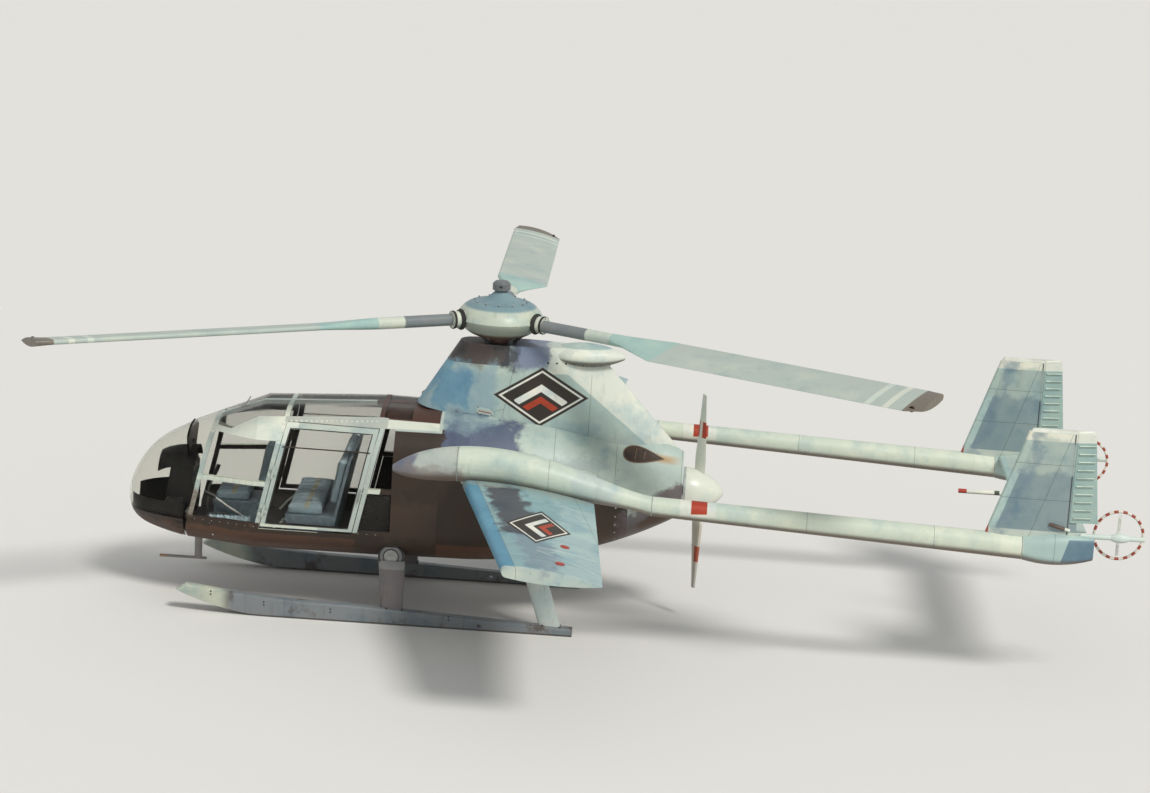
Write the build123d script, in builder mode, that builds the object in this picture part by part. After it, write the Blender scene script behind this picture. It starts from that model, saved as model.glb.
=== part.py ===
# A gyrodyne: a rotor aircraft with short wings, twin tail booms and a pusher propeller, parked on its skids.
# Millimetres. +X is the nose, +Y the port side, +Z up. z = 0 is the floor, and the rotor turns about x = y = 0.
import os
from math import cos, radians, sin

from build123d import *

os.makedirs("parts", exist_ok=True)

# Fits and clearances
SEAT_GAP = 0.3
SWEEP_GAP = 7
DOOR_FOOT_GAP = 20
PIN_GAP = 0.05

# Pod: one section a row, in lengths that follow each other from the nose to the propeller
# columns: x, half width, belly z, roof z, roof corner radius, belly corner radius
NOSE_ROWS = [
    (3572, 80, 870, 1030, 75, 75),
    (3530, 200, 765, 1160, 185, 180),
    (3430, 335, 680, 1345, 310, 290),
    (3220, 465, 620, 1545, 430, 350),
    (2940, 570, 590, 1700, 520, 340),
]
CABIN_ROWS = [
    (2940, 570, 590, 1700, 520, 340),
    (2260, 735, 585, 1960, 540, 300),
    (1100, 748, 590, 2020, 540, 300),
    (400, 740, 600, 2010, 540, 300),
]
TAIL_ROWS = [
    (400, 740, 600, 2010, 540, 300),
    (-500, 690, 640, 1950, 520, 380),
    (-1200, 505, 775, 1800, 440, 400),
    (-1880, 235, 1075, 1545, 220, 220),
]
POD_WALL = 40
COWL_WALL = 25
COWL_TAIL_X = -1500
GLASS = 8

# Cabin framing, in side view: the posts lean forward at the foot
POST_LEAN = 0.21
POST_FOOT_Z = 830
POST_WIDTH = 46
RAIL_WIDTH = 46
SILL_Z = 850
RAIL_Z = 1270
CANT_Z = 1880
NOSE_POST_X = 2925
DOOR_POST_X = 2200
REAR_POST_X = 1290
CABIN_END_X = 470
ROOF_LIGHT_Y = 450
ROOF_BEAM_WIDTH = 60
ROOF_LIGHT_LOW_Z = 1756
FRONT_PANE_TOP_Z = 1710
REAR_PANE_X = 920
ROOF_PANEL_X = 730
DOOR_FRAME = 52
FLOOR_Z = 700
FLOOR_THICK = 25
FLOOR_FRONT_X = 3260
FIREWALL_THICK = 25

# Door hinges, outside the skin on the line of the front door post
HINGE_Y = 756
HINGE_R = 12
HINGE_LEAF = 42
HINGE_KNUCKLE = 40
HINGE_ZS = (1010, 1400)

# Cabin furniture
CONSOLE_REAR_X = 2920
CONSOLE_FRONT_X = 3230
CONSOLE_HALF_WIDTH = 190
CONSOLE_TOP_Z = 1400
CONSOLE_FACE = 150
SEAT_DEPTH = 470
SEAT_PAN_Z = 960
SEAT_BACK_HEIGHT = 600
SEAT_PAN_THICK = 30
SEAT_RECLINE = 12
PAN_CUSHION = 90
BACK_CUSHION = 75
PILOT_SEAT_X = 2720
PILOT_SEAT_WIDTH = 460
BENCH_X = 1960
BENCH_WIDTH = 1180

# Engine: one plain block, by its outer size
ENGINE_R = 545
ENGINE_LENGTH = 700
ENGINE_FRONT_X = 330
ENGINE_MOUNT_R = 270
THRUST_Z = 1310

# Rotor pylon: one level section a row
# columns: z, leading edge x, trailing edge x, full width
PYLON_ROWS = [
    (1700, 980, -1850, 660),
    (2690, 372, -930, 380),
]
# Air intake under the pylon's leading edge: its outline in side view, and the width left for the duct behind it
INTAKE = [(960, 2078), (150, 1955), (150, 1790), (960, 1790)]
INTAKE_DUCT_X = 560
INTAKE_DUCT_HALF_WIDTH = 150
# Canoe fairing on the pylon's shoulders: columns: x, half width, half height
CANOE_Z = 2610
CANOE_ROWS = [
    (-480, 40, 20),
    (-620, 165, 85),
    (-880, 195, 115),
    (-1240, 40, 24),
]

# Rotor
ROTOR_R = 4725
HUB_Z = 2930
HUB_R = 430
HUB_BASE_Z = 2742
HUB_BASE_R = 150
HUB_CROWN_R = 285
HUB_CROWN_Z = 3085
NECK_R = 60
NECK_Z = HUB_CROWN_Z + 110
KNOB_R = 88
KNOB_EDGE = 24
KNOB_TOP_Z = NECK_Z + 95
HOIST_EYE_R = 16
HOIST_EYE_Z = KNOB_TOP_Z - 45
MAST_R = 95
MAST_SOCKET = 120
SHANK_R = 58
CUFF_R = 82
CUFF_IN = 300
CUFF_OUT = 520
BLADE_PITCH = 9
BLADE_AXIS_SHARE = 0.30
BLADE_CHORD = 520
BLADE_THICK = 62
SHANK_END = 1270
TIP_JET_LENGTH = 150
TIP_JET_CHORD = 430
TIP_JET_THICK = 84
# columns: radius, chord, thickness, crest share, nose share, nose height share, tail half thickness
BLADE_ROWS = [
    (SHANK_END, 2 * SHANK_R, 2 * SHANK_R, 0.5, 0.25, 0.433, 11.6),
    (1450, 190, 104, 0.45, 0.14, 0.42, 6),
    (1900, BLADE_CHORD, BLADE_THICK, 0.34, 0.045, 0.38, 1.5),
    (ROTOR_R - TIP_JET_LENGTH, BLADE_CHORD, BLADE_THICK, 0.34, 0.045, 0.38, 1.5),
    (ROTOR_R, TIP_JET_CHORD, TIP_JET_THICK, 0.34, 0.08, 0.38, 1.5),
]
BLADE_AZIMUTHS = (-90, 30, 150)

# Propeller and spinner
PROP_X = -2045
PROP_R = 980
PROP_SHAFT_R = 45
PROP_SHAFT_SOCKET = 60
# columns: radius, chord, thickness, blade angle
PROP_ROWS = [
    (70, 110, 60, 50),
    (330, 165, 44, 34),
    (PROP_R, 96, 26, 16),
]
SPINNER_R = 232
SPINNER_LENGTH = 400
SPINNER_TIP_R = 14

# Wings: the tips are 26 feet apart
WING_STUB_Y = 300
WING_ROOT_Y = 1400
WING_JOINT_Y = 1580
WING_TIP_Y = 3962
WING_ROOT_LE_X = 220
WING_ROOT_CHORD = 1270
WING_TIP_LE_X = -350
WING_TIP_CHORD = 880
WING_ROOT_Z = 1660
WING_TIP_Z = 1545
WING_THICK_SHARE = 0.13
WING_INCIDENCE = 5

# Nacelles and booms: one round section a row
BOOM_Y = 1490
# columns: x, centre z, radius
NACELLE_ROWS = [
    (850, 1745, 30),
    (600, 1785, 128),
    (150, 1830, 168),
    (-350, 1800, 170),
    (-900, 1692, 142),
    (-1600, 1538, 92),
]
BOOM_END_X = -5070
BOOM_END_Z = 1382
BOOM_END_R = 116
BOOM_WALL = 12
# Tail pods: columns: x, centre z, width, height, corner radius
TAIL_POD_ROWS = [
    (BOOM_END_X, BOOM_END_Z, 2 * BOOM_END_R, 2 * BOOM_END_R, 112),
    (-5400, 1388, 222, 304, 95),
    (-5730, 1405, 120, 215, 50),
]

# Fins and rudders
FIN_FOOT_Z = 1440
FIN_TOP_Z = 2500
FIN_FOOT_LE_X = -4690
FIN_TOP_LE_X = -5040
FIN_THICK = 96
FIN_NOSE = 30
FIN_NOSE_HALF = 26
HINGE_BLOCK = 52
RUDDER_HINGE_X = -5500
RUDDER_FOOT_Z = 1650
RUDDER_FOOT_TE_X = -5750
RUDDER_TOP_TE_X = -5665
RUDDER_NOSE_R = 40
RUDDER_TAIL = 3
RUDDER_PIN_R = 10
RUDDER_PIN_LENGTH = 40

# Tailplane and elevator
TAILPLANE_Z = 1490
TAILPLANE_LE_X = -5100
TAILPLANE_THICK = 70
TAILPLANE_END_Y = BOOM_Y - 62
ELEVATOR_HINGE_X = -5480
ELEVATOR_TE_X = -5690
ELEVATOR_HALF_SPAN = 1240
ELEVATOR_NOSE_R = 28
ELEVATOR_TAIL = 3
ELEVATOR_PIN_R = 8
ELEVATOR_PIN_LENGTH = 30
PROBE_TIP_X = -4580
PROBE_R = 22

# Tail rotors, their guard rings and the arms that carry them
RING_X = -5970
RING_Z = 1525
RING_Y = 1385
RING_R = 228
RING_TUBE_R = 14
ARM_START_X = -5600
ARM_R = 24
GEARBOX_R = 46
GEARBOX_HALF = 120
BOSS_R = 26
BOSS_END_Y = 1432
BRACKET_R = 9
TAIL_SHAFT_R = 12
TAIL_SHAFT_SOCKET = 25
TAIL_HUB_R = 24
TAIL_HUB_HALF = 22
TAIL_ROTOR_R = 198
TAIL_BLADE_CHORD = 30
TAIL_BLADE_THICK = 8

# Skids
SKID_Y = 810
SKID_WIDTH = 110
SKID_TAIL_X = -900
SKID_FLAT_X = 1900
SKID_NOSE_X = 2960
SKID_NOSE_Z = 215
SKID_TOP_FRONT_Z = 275
SKID_MID_X = 1300
SKID_TOP_MID_Z = 170
SKID_TOP_TAIL_Z = 75
SKID_EDGE = 22
AXLE_BORE_R = 22
AXLE_Z = 50

# Legs: columns: x, y, z, length along the aircraft
FRONT_LEG_ROWS = [(890, 690, 600, 260), (860, SKID_Y, 60, 210)]
REAR_LEG_ROWS = [(-430, 640, 760, 230), (-690, SKID_Y, 50, 210)]
LEG_THICK = 70
KNUCKLE_X = 900
KNUCKLE_Z = 640
KNUCKLE_R = 125
KNUCKLE_IN_Y = 320
KNUCKLE_OUT_Y = 700

# Air-speed probe under the nose
PITOT_X = 2885
PITOT_Z = 290
PITOT_TIP_X = 3270
PITOT_TAIL_X = 2800
PITOT_R = 14
PITOT_STRUT = (38, 14)
PITOT_STRUT_LENGTH = 400

# Cutting blocks reach this far: past the pod, and past the whole aircraft
POD_REACH = 1000
ROOF_REACH = 3000
FAR = 6000


def keep(piece, name):
    """Names a finished piece and writes it."""
    piece.label = name
    export_step(piece, f"parts/{name}.step")


def keep_pair(piece, name):
    """Writes a port piece and its mirror image for the starboard side."""
    keep(piece, f"{name}_port")
    keep(mirror(piece, about=Plane.XZ), f"{name}_starboard")


def largest(piece):
    """The main solid of a trimmed piece."""
    return Part() + piece.solids().sort_by(SortBy.VOLUME)[-1]


def pod_length(rows, inset, ruled=False):
    """One length of the pod through its rows' sections, pulled in by inset all round."""
    with BuildPart() as length:
        for x, half_width, belly, roof, roof_r, belly_r in rows:
            plane = Plane(origin=(x, 0, (belly + roof) / 2), x_dir=(0, 1, 0), z_dir=(1, 0, 0))
            with BuildSketch(plane) as section:
                Rectangle(2 * (half_width - inset), roof - belly - 2 * inset)
                fillet(section.vertices().group_by(Axis.Y)[-1], roof_r - inset)
                fillet(section.vertices().group_by(Axis.Y)[0], belly_r - inset)
        loft(ruled=ruled)
    return length.part


def cabin_solid(inset):
    """The cabin's length of the pod, in straight-sided lengths between its section frames."""
    with BuildPart() as cabin:
        for pair in zip(CABIN_ROWS, CABIN_ROWS[1:]):
            add(pod_length(pair, inset, ruled=True))
    return cabin.part


def side_prism(points, y_low, y_high):
    """A prism across the pod, from its outline in side view."""
    with BuildPart() as prism:
        with BuildSketch(Plane.XZ.offset(-y_low)):
            with BuildLine():
                Polyline(*points, close=True)
            make_face()
        extrude(amount=y_low - y_high)
    return prism.part


def block(x_low, x_high, y_low, y_high, z_low, z_high):
    """A plain block from its corners."""
    with BuildPart() as solid:
        with BuildSketch(Plane.XY.offset(z_low)):
            with Locations(((x_low + x_high) / 2, (y_low + y_high) / 2)):
                Rectangle(x_high - x_low, y_high - y_low)
        extrude(amount=z_high - z_low)
    return solid.part


def rod(start, end, radius):
    """A round bar between two points."""
    with BuildPart() as bar:
        with BuildSketch(Plane(origin=start, z_dir=Vector(*end) - Vector(*start))):
            Circle(radius)
        extrude(amount=(Vector(*end) - Vector(*start)).length)
    return bar.part


def foil(plane, chord, thickness, crest=0.34, nose=0.045, nose_share=0.38, tail=1.5):
    """An aerofoil in a plane whose x runs aft from the leading edge: nose arc, two side arcs, blunt tail."""
    nose_x = nose * chord
    nose_y = nose_share * thickness
    with BuildSketch(plane) as section:
        with BuildLine():
            ThreePointArc((nose_x, -nose_y), (0, 0), (nose_x, nose_y))
            ThreePointArc((nose_x, nose_y), (crest * chord, thickness / 2), (chord, tail))
            Line((chord, tail), (chord, -tail))
            ThreePointArc((chord, -tail), (crest * chord, -thickness / 2), (nose_x, -nose_y))
        make_face()
    return section.sketch


def post_x(foot_x, z):
    """Where a leaning post stands at height z."""
    return foot_x - POST_LEAN * (z - POST_FOOT_Z)


def bay(front_x, rear_x, low, high, front_inset=0, rear_inset=0):
    """The four corners of a bay between two leaning posts, in side view."""
    return [
        (post_x(front_x, low) - front_inset, low),
        (post_x(front_x, high) - front_inset, high),
        (post_x(rear_x, high) + rear_inset, high),
        (post_x(rear_x, low) + rear_inset, low),
    ]


def rear_bay(low, high):
    """A bay from the rear door post to the upright edge of the rear panes, in side view."""
    front = REAR_POST_X - POST_WIDTH
    return [(post_x(front, low), low), (post_x(front, high), high), (REAR_PANE_X, high), (REAR_PANE_X, low)]


# Openings in the framing, in side view
glass_low = SILL_Z + RAIL_WIDTH
side_bays = [
    bay(NOSE_POST_X, DOOR_POST_X, glass_low, RAIL_Z, POST_WIDTH, POST_WIDTH),
    bay(NOSE_POST_X, DOOR_POST_X, RAIL_Z + RAIL_WIDTH, FRONT_PANE_TOP_Z, POST_WIDTH, POST_WIDTH),
    rear_bay(glass_low, RAIL_Z),
    rear_bay(RAIL_Z + RAIL_WIDTH, CANT_Z),
]
doorway = bay(DOOR_POST_X, REAR_POST_X, SILL_Z, CANT_Z)
door_edge = bay(
    DOOR_POST_X, REAR_POST_X, SILL_Z + DOOR_FOOT_GAP, CANT_Z - SWEEP_GAP, SWEEP_GAP, SWEEP_GAP
)
pane_inset = SWEEP_GAP + DOOR_FRAME
door_pane = bay(
    DOOR_POST_X, REAR_POST_X, SILL_Z + pane_inset, CANT_Z - pane_inset, pane_inset, pane_inset
)
nose_side = [
    (post_x(NOSE_POST_X, 0), 0),
    (post_x(NOSE_POST_X, ROOF_REACH), ROOF_REACH),
    (FAR, ROOF_REACH),
    (FAR, 0),
]


def cabin_side(low, high):
    """The cabin's outline in side view between two heights, from the nose posts to the firewall."""
    return [(post_x(NOSE_POST_X, low), low), (post_x(NOSE_POST_X, high), high), (CABIN_END_X, high), (CABIN_END_X, low)]


# Roof lights: columns: front x, rear x
roof_rows = [
    (post_x(NOSE_POST_X, 1800) - POST_WIDTH, post_x(DOOR_POST_X, 1950) + POST_WIDTH),
    (post_x(DOOR_POST_X, 1950), post_x(REAR_POST_X, 2010) + POST_WIDTH),
    (post_x(REAR_POST_X, 2010), ROOF_PANEL_X + POST_WIDTH),
]
roof_blocks = []
for front_x, rear_x in roof_rows:
    port_block = block(rear_x, front_x, ROOF_BEAM_WIDTH / 2, ROOF_LIGHT_Y, ROOF_LIGHT_LOW_Z, ROOF_REACH)
    roof_blocks += [port_block, mirror(port_block, about=Plane.XZ)]

# The pod's forms, which the frame, panes, cowl and floor share
cabin_outer = cabin_solid(0)
cabin_inner = cabin_solid(POD_WALL)
nose_outer = pod_length(NOSE_ROWS, 0)
tail_outer = pod_length(TAIL_ROWS, 0)
with BuildPart() as pod_clear:
    add(cabin_solid(-SEAT_GAP))
    add(pod_length(TAIL_ROWS, -SEAT_GAP))

with BuildPart() as cabin_skin:
    add(cabin_outer)
    add(cabin_inner, mode=Mode.SUBTRACT)
with BuildPart() as glass_skin:
    add(cabin_outer)
    add(cabin_solid(GLASS), mode=Mode.SUBTRACT)


def leaf(z_low, z_high, ahead):
    """A hinge leaf and its knuckle on the door's hinge line, ahead of the line or behind it."""
    low = (post_x(DOOR_POST_X, z_low) - SWEEP_GAP / 2, z_low)
    high = (post_x(DOOR_POST_X, z_high) - SWEEP_GAP / 2, z_high)
    reach = HINGE_LEAF if ahead else -HINGE_LEAF
    outline = [
        low,
        high,
        (high[0] + reach, high[1] + reach * POST_LEAN),
        (low[0] + reach, low[1] + reach * POST_LEAN),
    ]
    with BuildPart() as hinge:
        add(rod((low[0], HINGE_Y, low[1]), (high[0], HINGE_Y, high[1]), HINGE_R))
        add(side_prism(outline, HINGE_Y - 28, HINGE_Y - 4))
    return hinge.part


# Cabin tub: the lower shell up to the sills
with BuildPart() as cabin_tub:
    add(cabin_skin.part)
    add(side_prism(cabin_side(0, SILL_Z), -POD_REACH, POD_REACH), mode=Mode.INTERSECT)
keep(cabin_tub.part, "cabin_tub")

# Side frames: posts and rails from the sill to the cant rail, with the fixed halves of the door hinges
with BuildPart() as side_frame:
    add(cabin_skin.part)
    add(side_prism(cabin_side(SILL_Z, CANT_Z), ROOF_LIGHT_Y, POD_REACH), mode=Mode.INTERSECT)
    for outline in (*side_bays, doorway):
        add(side_prism(outline, 0, POD_REACH), mode=Mode.SUBTRACT)
    for z in HINGE_ZS:
        for low in (z - HINGE_KNUCKLE, z + HINGE_KNUCKLE + 2 * SEAT_GAP):
            add(leaf(low, low + HINGE_KNUCKLE - SEAT_GAP, True))
keep_pair(side_frame.part, "cabin_side_frame")

# Roof frame: the bows, the middle beam and the strips above the cant rails
with BuildPart() as roof_cut:
    add(side_prism(cabin_side(CANT_Z, ROOF_REACH), -POD_REACH, POD_REACH))
    add(side_prism(cabin_side(SILL_Z, CANT_Z), -ROOF_LIGHT_Y, ROOF_LIGHT_Y))
with BuildPart() as roof_frame:
    add(cabin_skin.part)
    add(roof_cut.part, mode=Mode.INTERSECT)
    for outline in (*side_bays, doorway):
        add(side_prism(outline, -POD_REACH, POD_REACH), mode=Mode.SUBTRACT)
    for roof_block in roof_blocks:
        add(roof_block, mode=Mode.SUBTRACT)
keep(roof_frame.part, "cabin_roof_frame")

# Clear nose bubble
with BuildPart() as nose_bubble:
    add(glass_skin.part)
    add(nose_outer)
    add(pod_length(NOSE_ROWS, GLASS), mode=Mode.SUBTRACT)
    add(side_prism(nose_side, -POD_REACH, POD_REACH), mode=Mode.INTERSECT)
keep(nose_bubble.part, "nose_bubble")


def panes(blocks):
    """Curved panes that fill the given openings of the framing."""
    with BuildPart() as glazing:
        for opening in blocks:
            add(opening)
        add(glass_skin.part, mode=Mode.INTERSECT)
    return glazing.part


front_blocks = [side_prism(outline, 0, side * POD_REACH) for outline in side_bays[:2] for side in (-1, 1)]
rear_blocks = [side_prism(outline, 0, side * POD_REACH) for outline in side_bays[2:] for side in (-1, 1)]
keep(panes(front_blocks), "front_windows")
keep(panes(rear_blocks), "rear_windows")
keep(panes(roof_blocks), "roof_glass")

# Doors: a ring cut from the pod's skin with the moving halves of its hinges, and its pane
with BuildPart() as door:
    add(cabin_skin.part)
    add(side_prism(door_edge, 0, POD_REACH), mode=Mode.INTERSECT)
    add(side_prism(door_pane, 0, POD_REACH), mode=Mode.SUBTRACT)
    for z in HINGE_ZS:
        add(leaf(z, z + HINGE_KNUCKLE, False))
keep_pair(door.part, "door")
keep_pair(panes([side_prism(door_pane, 0, POD_REACH)]), "door_window")

# Cabin floor and firewall, trimmed to the inside of the pod
with BuildPart() as lining:
    add(cabin_solid(POD_WALL + SEAT_GAP))
    add(pod_length(NOSE_ROWS, POD_WALL + SEAT_GAP))
with BuildPart() as cabin_floor:
    add(lining.part)
    add(
        block(CABIN_END_X + SEAT_GAP, FLOOR_FRONT_X, -POD_REACH, POD_REACH, FLOOR_Z - FLOOR_THICK, FLOOR_Z),
        mode=Mode.INTERSECT,
    )
keep(cabin_floor.part, "cabin_floor")

with BuildPart() as firewall:
    add(cabin_solid(POD_WALL + SEAT_GAP))
    add(
        block(CABIN_END_X - FIREWALL_THICK, CABIN_END_X, -POD_REACH, POD_REACH, 0, ROOF_REACH),
        mode=Mode.INTERSECT,
    )
keep(firewall.part, "firewall")

# Instrument console
console_outline = [
    (CONSOLE_REAR_X + 60, FLOOR_Z),
    (CONSOLE_REAR_X, CONSOLE_TOP_Z - CONSOLE_FACE),
    (CONSOLE_REAR_X + 70, CONSOLE_TOP_Z),
    (CONSOLE_FRONT_X - 90, CONSOLE_TOP_Z - 60),
    (CONSOLE_FRONT_X, FLOOR_Z),
]
keep(side_prism(console_outline, -CONSOLE_HALF_WIDTH, CONSOLE_HALF_WIDTH), "instrument_console")


def seat(front_x, width):
    """Frame, pan cushion and back cushion of one seat or bench."""
    back_x = front_x - SEAT_DEPTH
    lean = radians(SEAT_RECLINE)
    rise = (-sin(lean), cos(lean))
    ahead = (cos(lean), sin(lean))

    def back_point(up, out):
        return (back_x + up * rise[0] + out * ahead[0], SEAT_PAN_Z + up * rise[1] + out * ahead[1])

    outline = [
        (front_x - 40, FLOOR_Z),
        (front_x, SEAT_PAN_Z),
        back_point(0, 0),
        back_point(SEAT_BACK_HEIGHT, 0),
        back_point(SEAT_BACK_HEIGHT, -SEAT_PAN_THICK),
        back_point(-SEAT_PAN_THICK, -SEAT_PAN_THICK),
        (back_x + 20, FLOOR_Z),
    ]
    frame = side_prism(outline, -width / 2, width / 2)
    with BuildPart() as pan_cushion:
        with BuildSketch(Plane.XY.offset(SEAT_PAN_Z + SEAT_GAP)):
            with Locations(((front_x + back_x + BACK_CUSHION) / 2 + 12, 0)):
                RectangleRounded(SEAT_DEPTH - BACK_CUSHION - 24, width - 20, 40)
        extrude(amount=PAN_CUSHION)
    low = back_point(PAN_CUSHION + 12, SEAT_GAP)
    back_face = Plane(origin=(low[0], 0, low[1]), x_dir=(0, 1, 0), z_dir=(ahead[0], 0, ahead[1]))
    height = SEAT_BACK_HEIGHT - PAN_CUSHION - 12
    with BuildPart() as back_cushion:
        with BuildSketch(back_face):
            with Locations((0, height / 2)):
                RectangleRounded(width - 20, height, 40)
        extrude(amount=BACK_CUSHION)
    return frame, pan_cushion.part, back_cushion.part


for seat_name, seat_x, seat_width in (
    ("pilot_seat", PILOT_SEAT_X, PILOT_SEAT_WIDTH),
    ("rear_bench", BENCH_X, BENCH_WIDTH),
):
    seat_frame, seat_pan, seat_back = seat(seat_x, seat_width)
    keep(seat_frame, f"{seat_name}_frame")
    keep(seat_pan, f"{seat_name}_pan_cushion")
    keep(seat_back, f"{seat_name}_back_cushion")

# Engine block behind the firewall, on its mounting ring
engine_start = (CABIN_END_X - FIREWALL_THICK - SEAT_GAP, 0, THRUST_Z)
with BuildPart() as engine:
    add(rod((ENGINE_FRONT_X, 0, THRUST_Z), (ENGINE_FRONT_X - ENGINE_LENGTH, 0, THRUST_Z), ENGINE_R))
    add(rod(engine_start, (ENGINE_FRONT_X, 0, THRUST_Z), ENGINE_MOUNT_R))
keep(engine.part, "engine_block")

# Engine cowl: the rear half of the pod, a shell around the engine with a solid tail for the shaft
with BuildPart() as cowl_hollow:
    add(pod_length(TAIL_ROWS, COWL_WALL))
    add(block(COWL_TAIL_X, CABIN_END_X, -POD_REACH, POD_REACH, 0, ROOF_REACH), mode=Mode.INTERSECT)
with BuildPart() as cowl_rim:
    add(cabin_skin.part)
    add(
        block(CABIN_ROWS[-1][0], CABIN_END_X - SEAT_GAP, -POD_REACH, POD_REACH, 0, ROOF_REACH),
        mode=Mode.INTERSECT,
    )
with BuildPart() as engine_cowl:
    add(tail_outer)
    add(cowl_hollow.part, mode=Mode.SUBTRACT)
    add(cowl_rim.part)
    add(
        rod(
            (TAIL_ROWS[-1][0] + PROP_SHAFT_SOCKET, 0, THRUST_Z),
            (TAIL_ROWS[-1][0], 0, THRUST_Z),
            PROP_SHAFT_R + PIN_GAP,
        ),
        mode=Mode.SUBTRACT,
    )
keep(engine_cowl.part, "engine_cowl")

# Rotor pylon with the air intake, the canoe fairing on its shoulders and the mast's socket in its top
pylon_top = PYLON_ROWS[-1][0]
with BuildPart() as intake_duct:
    add(
        block(
            INTAKE[1][0] - SEAT_GAP,
            INTAKE_DUCT_X,
            -INTAKE_DUCT_HALF_WIDTH,
            INTAKE_DUCT_HALF_WIDTH,
            INTAKE[2][1],
            INTAKE[0][1],
        )
    )
    add(side_prism(INTAKE, -POD_REACH, POD_REACH), mode=Mode.INTERSECT)
    add(pod_clear.part, mode=Mode.SUBTRACT)
with BuildPart() as pylon:
    levels = []
    for z, le_x, te_x, width in PYLON_ROWS:
        level = Plane(origin=(le_x, 0, z), x_dir=(-1, 0, 0), z_dir=(0, 0, 1))
        levels.append(foil(level, le_x - te_x, width, crest=0.38, nose=0.06, nose_share=0.36, tail=14))
    loft(levels, ruled=True)
    add(pod_clear.part, mode=Mode.SUBTRACT)
    add(side_prism(INTAKE, -POD_REACH, POD_REACH), mode=Mode.SUBTRACT)
    for x, half_width, half_height in CANOE_ROWS:
        with BuildSketch(Plane(origin=(x, 0, CANOE_Z), x_dir=(0, 1, 0), z_dir=(-1, 0, 0))):
            Ellipse(half_width, half_height)
    loft()
    add(intake_duct.part)
    add(
        rod((0, 0, pylon_top - MAST_SOCKET), (0, 0, pylon_top + SWEEP_GAP), MAST_R + PIN_GAP),
        mode=Mode.SUBTRACT,
    )
keep(largest(pylon.part), "rotor_pylon")

# Rotor head: mast, domed hub, cuffs and the lifting eye in its cap
mast_foot = pylon_top - MAST_SOCKET + SEAT_GAP
belly_middle = (HUB_R - 0.30 * (HUB_R - HUB_BASE_R), HUB_Z - 0.585 * (HUB_Z - HUB_BASE_Z))
shoulder_middle = (HUB_R - 0.33 * (HUB_R - HUB_CROWN_R), HUB_Z + 0.55 * (HUB_CROWN_Z - HUB_Z))
crown_middle = (NECK_R + 0.36 * (HUB_CROWN_R - NECK_R), HUB_CROWN_Z + 0.36 * (NECK_Z - HUB_CROWN_Z))
with BuildPart() as rotor_head:
    with BuildSketch(Plane.XZ):
        with BuildLine():
            Polyline((0, mast_foot), (MAST_R, mast_foot), (MAST_R, HUB_BASE_Z), (HUB_BASE_R, HUB_BASE_Z))
            ThreePointArc((HUB_BASE_R, HUB_BASE_Z), belly_middle, (HUB_R, HUB_Z))
            ThreePointArc((HUB_R, HUB_Z), shoulder_middle, (HUB_CROWN_R, HUB_CROWN_Z))
            ThreePointArc((HUB_CROWN_R, HUB_CROWN_Z), crown_middle, (NECK_R, NECK_Z))
            Line((NECK_R, NECK_Z), (KNOB_R, NECK_Z + KNOB_EDGE / 2))
            Line((KNOB_R, NECK_Z + KNOB_EDGE / 2), (KNOB_R, KNOB_TOP_Z - KNOB_EDGE))
            Line((KNOB_R, KNOB_TOP_Z - KNOB_EDGE), (KNOB_R - KNOB_EDGE, KNOB_TOP_Z))
            Line((KNOB_R - KNOB_EDGE, KNOB_TOP_Z), (0, KNOB_TOP_Z))
            Line((0, KNOB_TOP_Z), (0, mast_foot))
        make_face()
    revolve(axis=Axis.Z)
    for azimuth in BLADE_AZIMUTHS:
        out = Vector(cos(radians(azimuth)), sin(radians(azimuth)), 0)
        with BuildSketch(Plane(origin=out * CUFF_IN + Vector(0, 0, HUB_Z), z_dir=out)):
            Circle(CUFF_R)
        extrude(amount=CUFF_OUT - CUFF_IN)
    add(rod((0, -HUB_R, HOIST_EYE_Z), (0, HUB_R, HOIST_EYE_Z), HOIST_EYE_R), mode=Mode.SUBTRACT)
keep(rotor_head.part, "rotor_head")


def span_plane(azimuth, radius, chord):
    """The section plane of a rotor blade; its x runs from the leading edge to the trailing edge."""
    a = radians(azimuth)
    lean = radians(BLADE_PITCH)
    back = Vector(sin(a) * cos(lean), -cos(a) * cos(lean), -sin(lean))
    start = Vector(radius * cos(a), radius * sin(a), HUB_Z) - back * (BLADE_AXIS_SHARE * chord)
    return Plane(origin=start, x_dir=back, z_dir=(cos(a), sin(a), 0))


# Rotor blades: round shank, cuff, constant aerofoil and the thicker tip jet
for number, azimuth in enumerate(BLADE_AZIMUTHS, start=1):
    shank_row = (CUFF_OUT + SEAT_GAP, *BLADE_ROWS[0][1:])
    with BuildPart() as blade:
        for pair in zip([shank_row, *BLADE_ROWS], BLADE_ROWS):
            loft([foil(span_plane(azimuth, row[0], row[1]), *row[1:]) for row in pair])
    keep(blade.part, f"rotor_blade_{number}")


def prop_plane(side, row):
    """The section plane of a propeller blade, pointing up for side 1 and down for side -1."""
    radius, chord, _, pitch = row
    lean = radians(pitch)
    back = Vector(-side * sin(lean), side * cos(lean), 0)
    start = Vector(PROP_X, 0, THRUST_Z + side * radius) - back * (chord / 2)
    return Plane(origin=start, x_dir=back, z_dir=(0, 0, side))


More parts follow.
